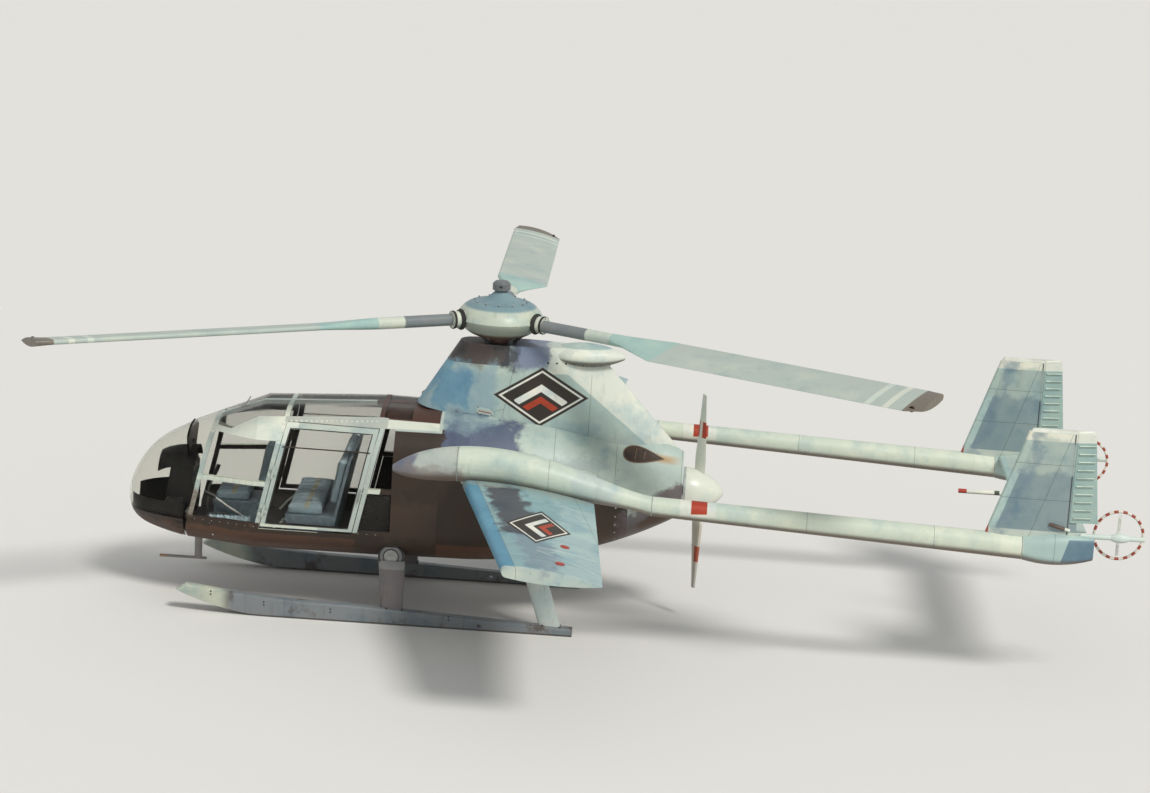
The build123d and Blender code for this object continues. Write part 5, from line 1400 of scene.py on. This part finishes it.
coat(
    skin_paint(
        "propeller_paint", (0.72, 0.745, 0.65), extra=prop_bands, Mottling=0.3, Streaking=0.05, Underside=0.2,
        Gloss=0.3,
    ),
    "propeller",
)
collar = [turned((-1.886, 0, 1.31), (-1, 0, 0), [(0.0, 0.2335), (0.012, 0.2345), (0.024, 0.2325)], 48)]
piece(
    "spinner_collar", collar, "pusher_propeller", plain_finish("collar_grey", (0.42, 0.45, 0.42), 0.45),
)


# Wings and their stubs: riveted sheet, sky blue with a bright leading edge, a dark stained patch by the root,
# a pale tip, a lozenge mark and two small red filler caps with white guide lines. Lamps at the tips.
WING_SKY = (0.27, 0.42, 0.44)
LE_LINE = (1, 0.2225, 0)
wing_zones = [
    ([(LE_LINE, 0.41, None)], (0.12, 0.30, 0.42)),
    ([(OUT, 3.90, None)], (0.50, 0.58, 0.52)),
    ([(OUT, 3.30, 3.33), (ALONG, -1.15, -0.62)], (0.66, 0.70, 0.62)),
    ([((0.5, 1, 0), 3.08, 3.105), (ALONG, -1.15, -0.62)], (0.66, 0.70, 0.62)),
    ([(OUT, None, 1.42)], (0.52, 0.61, 0.55)),
]
wing_stains = [
    ([(LE_LINE, 0.02, 0.37), (OUT, 1.68, 3.0)], (0.075, 0.080, 0.095), 0.97),
    ([(ALONG, None, -0.75), (OUT, 1.9, 4.0)], (0.42, 0.55, 0.54), 0.7),
    ([(LE_LINE, -0.02, 0.30), (OUT, 3.0, 3.9)], (0.19, 0.24, 0.30), 0.6),
    ([(OUT, 1.3, 1.75), (ALONG, -1.0, 0.2)], (0.33, 0.38, 0.34), 0.6),
]
wing_joints = [(OUT, y, ALONG, None) for y in (1.92, 2.42, 3.02, 3.62)]
wing_joints += [(LE_LINE, 0.41, OUT, None), (LE_LINE, -0.52, OUT, None)]
wing_paint = skin_paint(
    "wing_paint", WING_SKY, wing_zones, wing_stains, wing_joints,
    marked((-0.60, 2.74, 0), (0, 1, 0), (1, 0, 0), 0.30, top_only=True), Mottling=0.7, Streaking=0.10, Underside=0.6,
)
coat(wing_paint, "wing_port", "wing_starboard", "wing_stub_port", "wing_stub_starboard")
wing_skin = skin_tree("wing_port")
FILLER_CAP = [(0, 0.042), (0.007, 0.042), (0.010, 0.032), (0.010, 0.006)]
TIP_GLASS = [(0, 0.020), (0.004, 0.018), (0.0065, 0.012), (0.007, 0.004)]
caps = []
for x, y in ((-0.858, 3.16), (-0.84, 3.66)):
    spot, normal = on_skin(wing_skin, (x, y, 3), DOWN)
    caps.append(turned(spot - normal * 0.002, normal, FILLER_CAP, 24))
piece("filler_caps", mirrored(caps), "airframe", plain_finish("cap_red", (0.45, 0.05, 0.03), 0.4))
for side, label, glow in ((1, "port", (0.6, 0.02, 0.02)), (-1, "starboard", (0.02, 0.35, 0.10))):
    glass = turned((-0.60, side * 3.955, 1.548), (0, side, 0), TIP_GLASS, 16)
    piece(f"tip_lamp_{label}", [glass], "airframe", plain_finish(f"tip_lamp_{label}", glow, 0.1))


# Nacelles and tail booms: rolled tubes in cream paint, with painted shade in brown underneath and over the nacelle's
# nose.
# The nacelle's spun nose cap is greyer and held by a strap; red squares on the booms warn of the propeller's plane.
CREAM = (0.58, 0.66, 0.56)
nacelle_zones = [
    ([(ALONG, 0.24, None)], (0.44, 0.49, 0.45)),
    ([(ALONG, 0.232, 0.242)], (0.30, 0.32, 0.31)),
]
nacelle_stains_and_shade = [
    # This patch and the next: painted shade on the nacelle's nose and on its lower front.
    ([(ALONG, 0.62, None)], (0.17, 0.18, 0.24), 0.95),
    ([(ALONG, 0.2, 0.9), (UP, None, 1.80)], (0.24, 0.21, 0.20), 0.7),
    ([(ALONG, -0.55, -0.15), (UP, None, 1.70)], (0.42, 0.46, 0.38), 0.5),
    ([(ALONG, -1.30, -0.85)], (0.44, 0.53, 0.53), 0.6),
]
# Brown for the streaks and for the painted shade where the nacelles, booms and tail pods face down.
BOOM_GRIME_AND_SHADE = (0.12, 0.078, 0.058, 1)
coat(
    skin_paint(
        "nacelle_paint", CREAM, nacelle_zones, nacelle_stains_and_shade, [(ALONG, 0.237, UP, None), (ALONG, -0.62, UP, None)],
        soft=0.02, Mottling=0.6, Streaking=0.12, Underside=0.8, Grime=BOOM_GRIME_AND_SHADE,
    ),
    "boom_nacelle_port", "boom_nacelle_starboard",
)
boom_zones = [
    ([(ALONG, -2.20, -1.86), ((0.055, 0, 1), 1.37, None)], (0.74, 0.75, 0.66)),
    ([(ALONG, -2.115, -1.965), ((0.055, 0, 1), 1.40, 1.53)], (0.43, 0.05, 0.02)),
    ([(ALONG, -4.72, -4.62), ((0.055, 0, 1), 1.29, 1.33)], (0.45, 0.12, 0.08)),
    ([(ALONG, -5.08, -4.86)], (0.66, 0.72, 0.61)),
]
# The boom's underside is darkened strongly, as painted shade.
boom_paint = skin_paint(
    "boom_paint", (0.62, 0.685, 0.575), boom_zones, joints=[(ALONG, -3.05, UP, None), (ALONG, -4.24, UP, None)],
    Mottling=0.55, Streaking=0.10, Underside=0.92, Grime=BOOM_GRIME_AND_SHADE,
)
coat(boom_paint, "tail_boom_port", "tail_boom_starboard")
boom_skin = skin_tree("boom_nacelle_port", "tail_boom_port")
clamps = []
for x, centre_z in ((0.237, 1.826), (-1.598, 1.538), (-5.062, 1.382)):
    ring = []
    for k in range(40):
        a = 2 * math.pi * k / 40
        out = Vector((0, math.cos(a), math.sin(a)))
        hit = on_skin(boom_skin, Vector((x, 1.49, centre_z)) + out * 0.5, -out)
        if hit:
            ring.append(hit[0])
    clamps.append(bar(ring, 0.004, 6, closed=True))
piece(
    "boom_straps", mirrored(clamps), "airframe", plain_finish("strap_grey", (0.36, 0.40, 0.37), 0.4, metal=0.3),
)


# Tail pods and fins: blue-grey fins with a light turquoise leading edge, white rounded caps and a paler foot as
# painted highlight.
# The pods have a dark patch by the arm as painted shadow of the arm, and a brown static fitting with a white end
# beside the fin's foot.
FIN_GREY = (0.225, 0.305, 0.325)
FIN_EDGE = (0.43, 0.57, 0.54)
FIN_LINE = (1, 0, 0.3302)
CAP_WHITE = (0.72, 0.745, 0.65)
fin_zones = [
    ([(FIN_LINE, -4.290, None)], FIN_EDGE),
    # Painted highlight: the fin's foot is paler, for sunlight on its rounded fairing.
    ([(UP, None, 1.56)], (0.50, 0.58, 0.53)),
    ([(UP, 2.42, None)], CAP_WHITE),
    ([(ALONG, -5.475, -5.462)], (0.06, 0.07, 0.075)),
    ([(ALONG, -4.74, -4.60), (UP, None, 1.60)], (0.42, 0.12, 0.08)),
]
fin_stains = [
    ([(UP, 2.12, 2.42)], (0.40, 0.50, 0.46), 0.75),
    ([(FIN_LINE, -4.40, -4.30)], (0.17, 0.25, 0.31), 0.6),
]
fin_joints = [(UP, 1.86, ALONG, None), (UP, 2.20, ALONG, None), (FIN_LINE, -4.62, UP, None)]
coat(
    skin_paint(
        "fin_paint", FIN_GREY, fin_zones, fin_stains, fin_joints, Mottling=0.7, Streaking=0.14, Underside=0.2,
    ),
    "fin_port", "fin_starboard",
)
# The tail pod's dark blue-grey zone aft of and under the arm is painted shadow of the arm.
coat(
    skin_paint(
        "tail_pod_paint", (0.41, 0.55, 0.52), [([((1, 0, 0.30), None, -5.04), (UP, 1.28, 1.50)], (0.14, 0.23, 0.28))],
        joints=[(ALONG, -5.36, UP, None)], Mottling=0.6, Streaking=0.12, Underside=0.85, Grime=BOOM_GRIME_AND_SHADE,
    ),
    "tail_pod_port", "tail_pod_starboard",
)
cap_white = plain_finish("cap_white", CAP_WHITE, 0.4, grain=5.0)


def rounded_cap(outline, base_z, rise):
    """A domed cap over a level outline: rings that draw in towards the top."""
    centre = Vector((sum(x for x, _ in outline) / len(outline), sum(y for _, y in outline) / len(outline), 0))
    half = max(abs(y - centre.y) for _, y in outline)
    length = max(abs(x - centre.x) for x, _ in outline)
    points, faces = [], []
    rings = [(0.0, 0.0), (0.35, 0.06), (0.65, 0.22), (0.86, 0.45), (0.97, 0.72), (1.0, 0.92)]
    for lift, draw in rings:
        for x, y in outline:
            cap_x = centre.x + (x - centre.x) * (1 - half * draw / length)
            points.append(Vector((cap_x, centre.y + (y - centre.y) * (1 - draw), base_z + rise * lift)))
    count = len(outline)
    for ring in range(len(rings) - 1):
        for i in range(count):
            a, b = ring * count + i, ring * count + (i + 1) % count
            faces.append((a, b, b + count, a + count))
    faces.append(tuple(range((len(rings) - 1) * count, len(rings) * count)))
    return points, faces


def section_outline(node, z, steps=46):
    """The outline of a CAD node cut level at z, found from outside along its length."""
    low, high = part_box(node)
    tree = skin_tree(node)
    port, starboard = [], []
    for i in range(steps):
        x = high.x - 0.002 - (high.x - low.x - 0.004) * (0.5 - 0.5 * math.cos(math.pi * i / (steps - 1)))
        for sign, row in ((1, port), (-1, starboard)):
            hit = tree.ray_cast(Vector((x, 1.49 + sign * 0.5, z)), Vector((0, -sign, 0)))[0]
            if hit:
                row.append((hit.x, hit.y))
    return port + starboard[::-1]


FIN_TOP = 2.5
for node in ("fin", "rudder"):
    points, faces = rounded_cap(section_outline(f"{node}_port", FIN_TOP - 0.004), FIN_TOP - 0.001, 0.034)
    for side, label in SIDE_NAMES:
        form = (points, faces) if side > 0 else mirrored([(points, faces)])[1]
        piece(
            f"{node}_cap_{label}", [form], "airframe" if node == "fin" else f"{label}_rudder", cap_white,
        )

fin_skin = skin_tree("fin_port", "tail_pod_port")
fitting_y = on_skin(fin_skin, (-5.40, 3, 1.605), (0, -1, 0))[0].y + 0.012
FITTING_PATH = ((-5.30, -0.014, 1.63), (-5.33, -0.002, 1.625), (-5.40, 0.0, 1.605), (-5.44, -0.004, 1.594))
FITTING_END = ((-5.438, -0.004, 1.5945), (-5.47, -0.008, 1.586), (-5.49, -0.014, 1.581))
for name, path, radius, finish in (
    ("static_fittings", FITTING_PATH, 0.022, plain_finish("fitting_brown", (0.12, 0.08, 0.06), 0.5)),
    ("static_fitting_ends", FITTING_END, 0.019, cap_white),
):
    form = bar([(x, fitting_y + dy, z) for x, dy, z in path], radius, 14, flat=0.8)
    piece(name, mirrored([form]), "airframe", finish)


# Rudders and elevator: thin sheet stiffened by pressed cross ribs, with the ribs painted paler and the hollows
# between them darker, as painted highlight and shade.
RIB_PITCH = 0.077
coat(
    skin_paint(
        "rudder_paint", (0.33, 0.46, 0.43), [([(UP, 2.42, None)], CAP_WHITE)], Mottling=0.4, Streaking=0.1,
        Underside=0.1,
    ),
    "rudder_port", "rudder_starboard",
)
coat(skin_paint("elevator_paint", (0.48, 0.58, 0.53), Mottling=0.5, Streaking=0.1, Underside=0.7), "elevator")
# The ribs' pale colour against the darker rudder skin is painted highlight and shade.
rib_pale = plain_finish("rib_pale", (0.60, 0.69, 0.60), 0.45, grain=8.0)
rudder_skin = skin_tree("rudder_port")
for side, label in SIDE_NAMES:
    ribs = []
    for step in range(10):
        z = 1.70 + RIB_PITCH * step
        for out in (1, -1):
            path = []
            for i in range(7):
                x = -5.512 - 0.026 * i * (1 + 0.12 * (2.5 - z))
                hit = rudder_skin.ray_cast(Vector((x, 1.49 + out * 0.5, z)), Vector((0, -out, 0)))[0]
                if hit:
                    path.append(Vector((hit.x, side * (hit.y + out * 0.001), hit.z)))
            ribs.append(bar(path, 0.018, 8, flat=0.30))
    piece(f"rudder_ribs_{label}", ribs, f"{label}_rudder", rib_pale)


# Tailplane: a straight panel between the pods, with a red-tipped white air-data probe ahead of its middle.
tailplane_zones = [
    ([(ALONG, -5.16, None), (OUT, 0.05, None)], FIN_EDGE),
    ([(ALONG, -5.02, None), (OUT, None, 0.05)], (0.72, 0.74, 0.67)),
    ([(ALONG, -4.66, None), (OUT, None, 0.05)], (0.45, 0.05, 0.03)),
    ([(ALONG, -4.98, -4.93), (OUT, None, 0.05)], (0.06, 0.08, 0.06)),
]
coat(
    skin_paint(
        "tailplane_paint", (0.48, 0.58, 0.53), tailplane_zones, joints=[(OUT, y, ALONG, None) for y in (0.45, 0.95)],
        Mottling=0.55, Streaking=0.1, Underside=0.8,
    ),
    "tailplane",
)


# Tail rotors: small two-blade rotors inside tubular guard rings, which are painted in short red and white blocks.
# A tapered gearbox at the ring's centre hangs on a tube from the tail pod.
RING_CENTRE = Vector((-5.97, 1.385, 1.525))


def ring_blocks(tree, place, tone):
    """Short red blocks on the white guard ring."""
    spot = parted(tree, place)
    dx = reckon(tree, "SUBTRACT", spot[0], RING_CENTRE.x)
    dz = reckon(tree, "SUBTRACT", spot[2], RING_CENTRE.z)
    turn = reckon(tree, "DIVIDE", reckon(tree, "ARCTAN2", dz, dx), 2 * math.pi)
    block = reckon(tree, "GREATER_THAN", reckon(tree, "FRACT", reckon(tree, "MULTIPLY", turn, 17.0)), 0.5)
    reach = reckon(tree, "SQRT", reckon(tree, "MULTIPLY_ADD", dx, dx, reckon(tree, "MULTIPLY", dz, dz)))
    ring = reckon(
        tree, "MULTIPLY", reckon(tree, "GREATER_THAN", reach, 0.205), reckon(tree, "LESS_THAN", spot[1], 1.402)
    )
    tone = blended(tree, ring, tone, (0.76, 0.72, 0.64))
    return blended(tree, reckon(tree, "MULTIPLY", ring, block), tone, (0.36, 0.07, 0.04))


coat(
    skin_paint("arm_paint", (0.66, 0.75, 0.68), extra=ring_blocks, Mottling=0.3, Streaking=0.05, Underside=0.3),
    "tail_rotor_arm_port", "tail_rotor_arm_starboard",
)
coat(plain_finish("tail_rotor_white", (0.74, 0.76, 0.70), 0.35), "tail_rotor_port", "tail_rotor_starboard")


# Skids and legs: welded steel boxes in worn grey paint, with stained tops, bare soles, dark joint rings on the round
# front housings and bolted clamps where the legs meet the skids.
SKID_GREY = (0.215, 0.235, 0.245)


def skid_stains(tree, place, tone):
    """Brown stains, a pale nose and a bare dark sole."""
    patch = ramp(tree, cloud(tree, place, 2.3, 6.0, 0.6), 0.50, 0.60)
    tone = blended(tree, reckon(tree, "MULTIPLY", patch, 0.8), tone, (0.075, 0.055, 0.048))
    spot = parted(tree, place)
    tone = blended(tree, ramp(tree, spot[0], 2.40, 2.55), tone, (0.46, 0.50, 0.42))
    return blended(tree, ramp(tree, spot[2], 0.022, 0.012), tone, (0.09, 0.08, 0.07))


coat(
    skin_paint(
        "skid_paint", SKID_GREY, extra=skid_stains, joints=[(ALONG, 1.9, UP, None), (ALONG, 0.15, UP, None)],
        Mottling=0.7, Streaking=0.2, Underside=0.5,
    ),
    "skid_port", "skid_starboard",
)
coat(
    skin_paint(
        "front_leg_paint", (0.165, 0.150, 0.150), [([(UP, 0.52, None)], (0.26, 0.255, 0.245))],
        Mottling=0.5, Streaking=0.3, Underside=0.6, Grime=(0.05, 0.035, 0.028, 1),
    ),
    "front_leg_port", "front_leg_starboard",
)
coat(
    skin_paint("rear_leg_paint", (0.47, 0.52, 0.49), Mottling=0.5, Streaking=0.25, Underside=0.4),
    "rear_leg_port", "rear_leg_starboard",
)
KNUCKLE_X, KNUCKLE_Z, KNUCKLE_FACE = 0.90, 0.64, 0.70
HOUSING_CAP = [(0, 0.070), (0.008, 0.068), (0.016, 0.050), (0.020, 0.020)]
SKID_BOLT = [(0, 0.011), (0.010, 0.011), (0.013, 0.008)]
rings = []
for radius, tube in ((0.117, 0.012), (0.074, 0.006)):
    circle = []
    for k in range(40):
        a = 2 * math.pi * k / 40
        x, z = KNUCKLE_X + radius * math.cos(a), KNUCKLE_Z + radius * math.sin(a)
        circle.append(Vector((x, KNUCKLE_FACE + 0.001, z)))
    rings.append(bar(circle, tube, 8, closed=True, flat=0.7))
piece("housing_rings", mirrored(rings), "airframe", dark_steel)
housing_cap = [turned((KNUCKLE_X, KNUCKLE_FACE - 0.002, KNUCKLE_Z), (0, 1, 0), HOUSING_CAP, 32)]
piece(
    "housing_caps", mirrored(housing_cap), "airframe", plain_finish("housing_pale", (0.36, 0.36, 0.345), 0.5),
)

# Bolts on the skids: hexagonal ones through the clamps by the legs, domed ones in pairs down the flanks.
# The flank rows climb with the skids' noses ahead of NOSE_RISE_X.
CLAMP_SPOTS = [(x, y, 1) for x in (0.76, 0.91, -0.78, -0.61) for y in (0.775, 0.845)]
NOSE_RISE_X, NOSE_SLOPE = 1.9, 0.14
flank_spots = []
for x in (2.62, 2.1, 1.45, 0.3, -0.5):
    for share in (0.4, 0.7):
        flank_spots.append((x, 2, 0.05 + 0.10 * share + max(0, x - NOSE_RISE_X) * NOSE_SLOPE))
skid_skin = skin_tree("skid_port")
skid_bolts = []
for start in CLAMP_SPOTS:
    hit = on_skin(skid_skin, start, DOWN)
    if hit:
        skid_bolts.append(turned(hit[0] - hit[1] * 0.002, hit[1], SKID_BOLT, 6))
skid_bolts += heads_on(skid_skin, flank_spots, INWARD, 0.009, 0.004)
piece("skid_bolts", mirrored(skid_bolts), "airframe", dark_steel)


# Air-speed probe: a brass-tipped steel tube on a small streamlined strut under the nose.
coat(
    skin_paint(
        "probe_paint", (0.28, 0.26, 0.25), [([(ALONG, 3.20, None)], (0.40, 0.24, 0.15))], Mottling=0.4,
        Streaking=0.2,
    ),
    "pitot_probe",
)
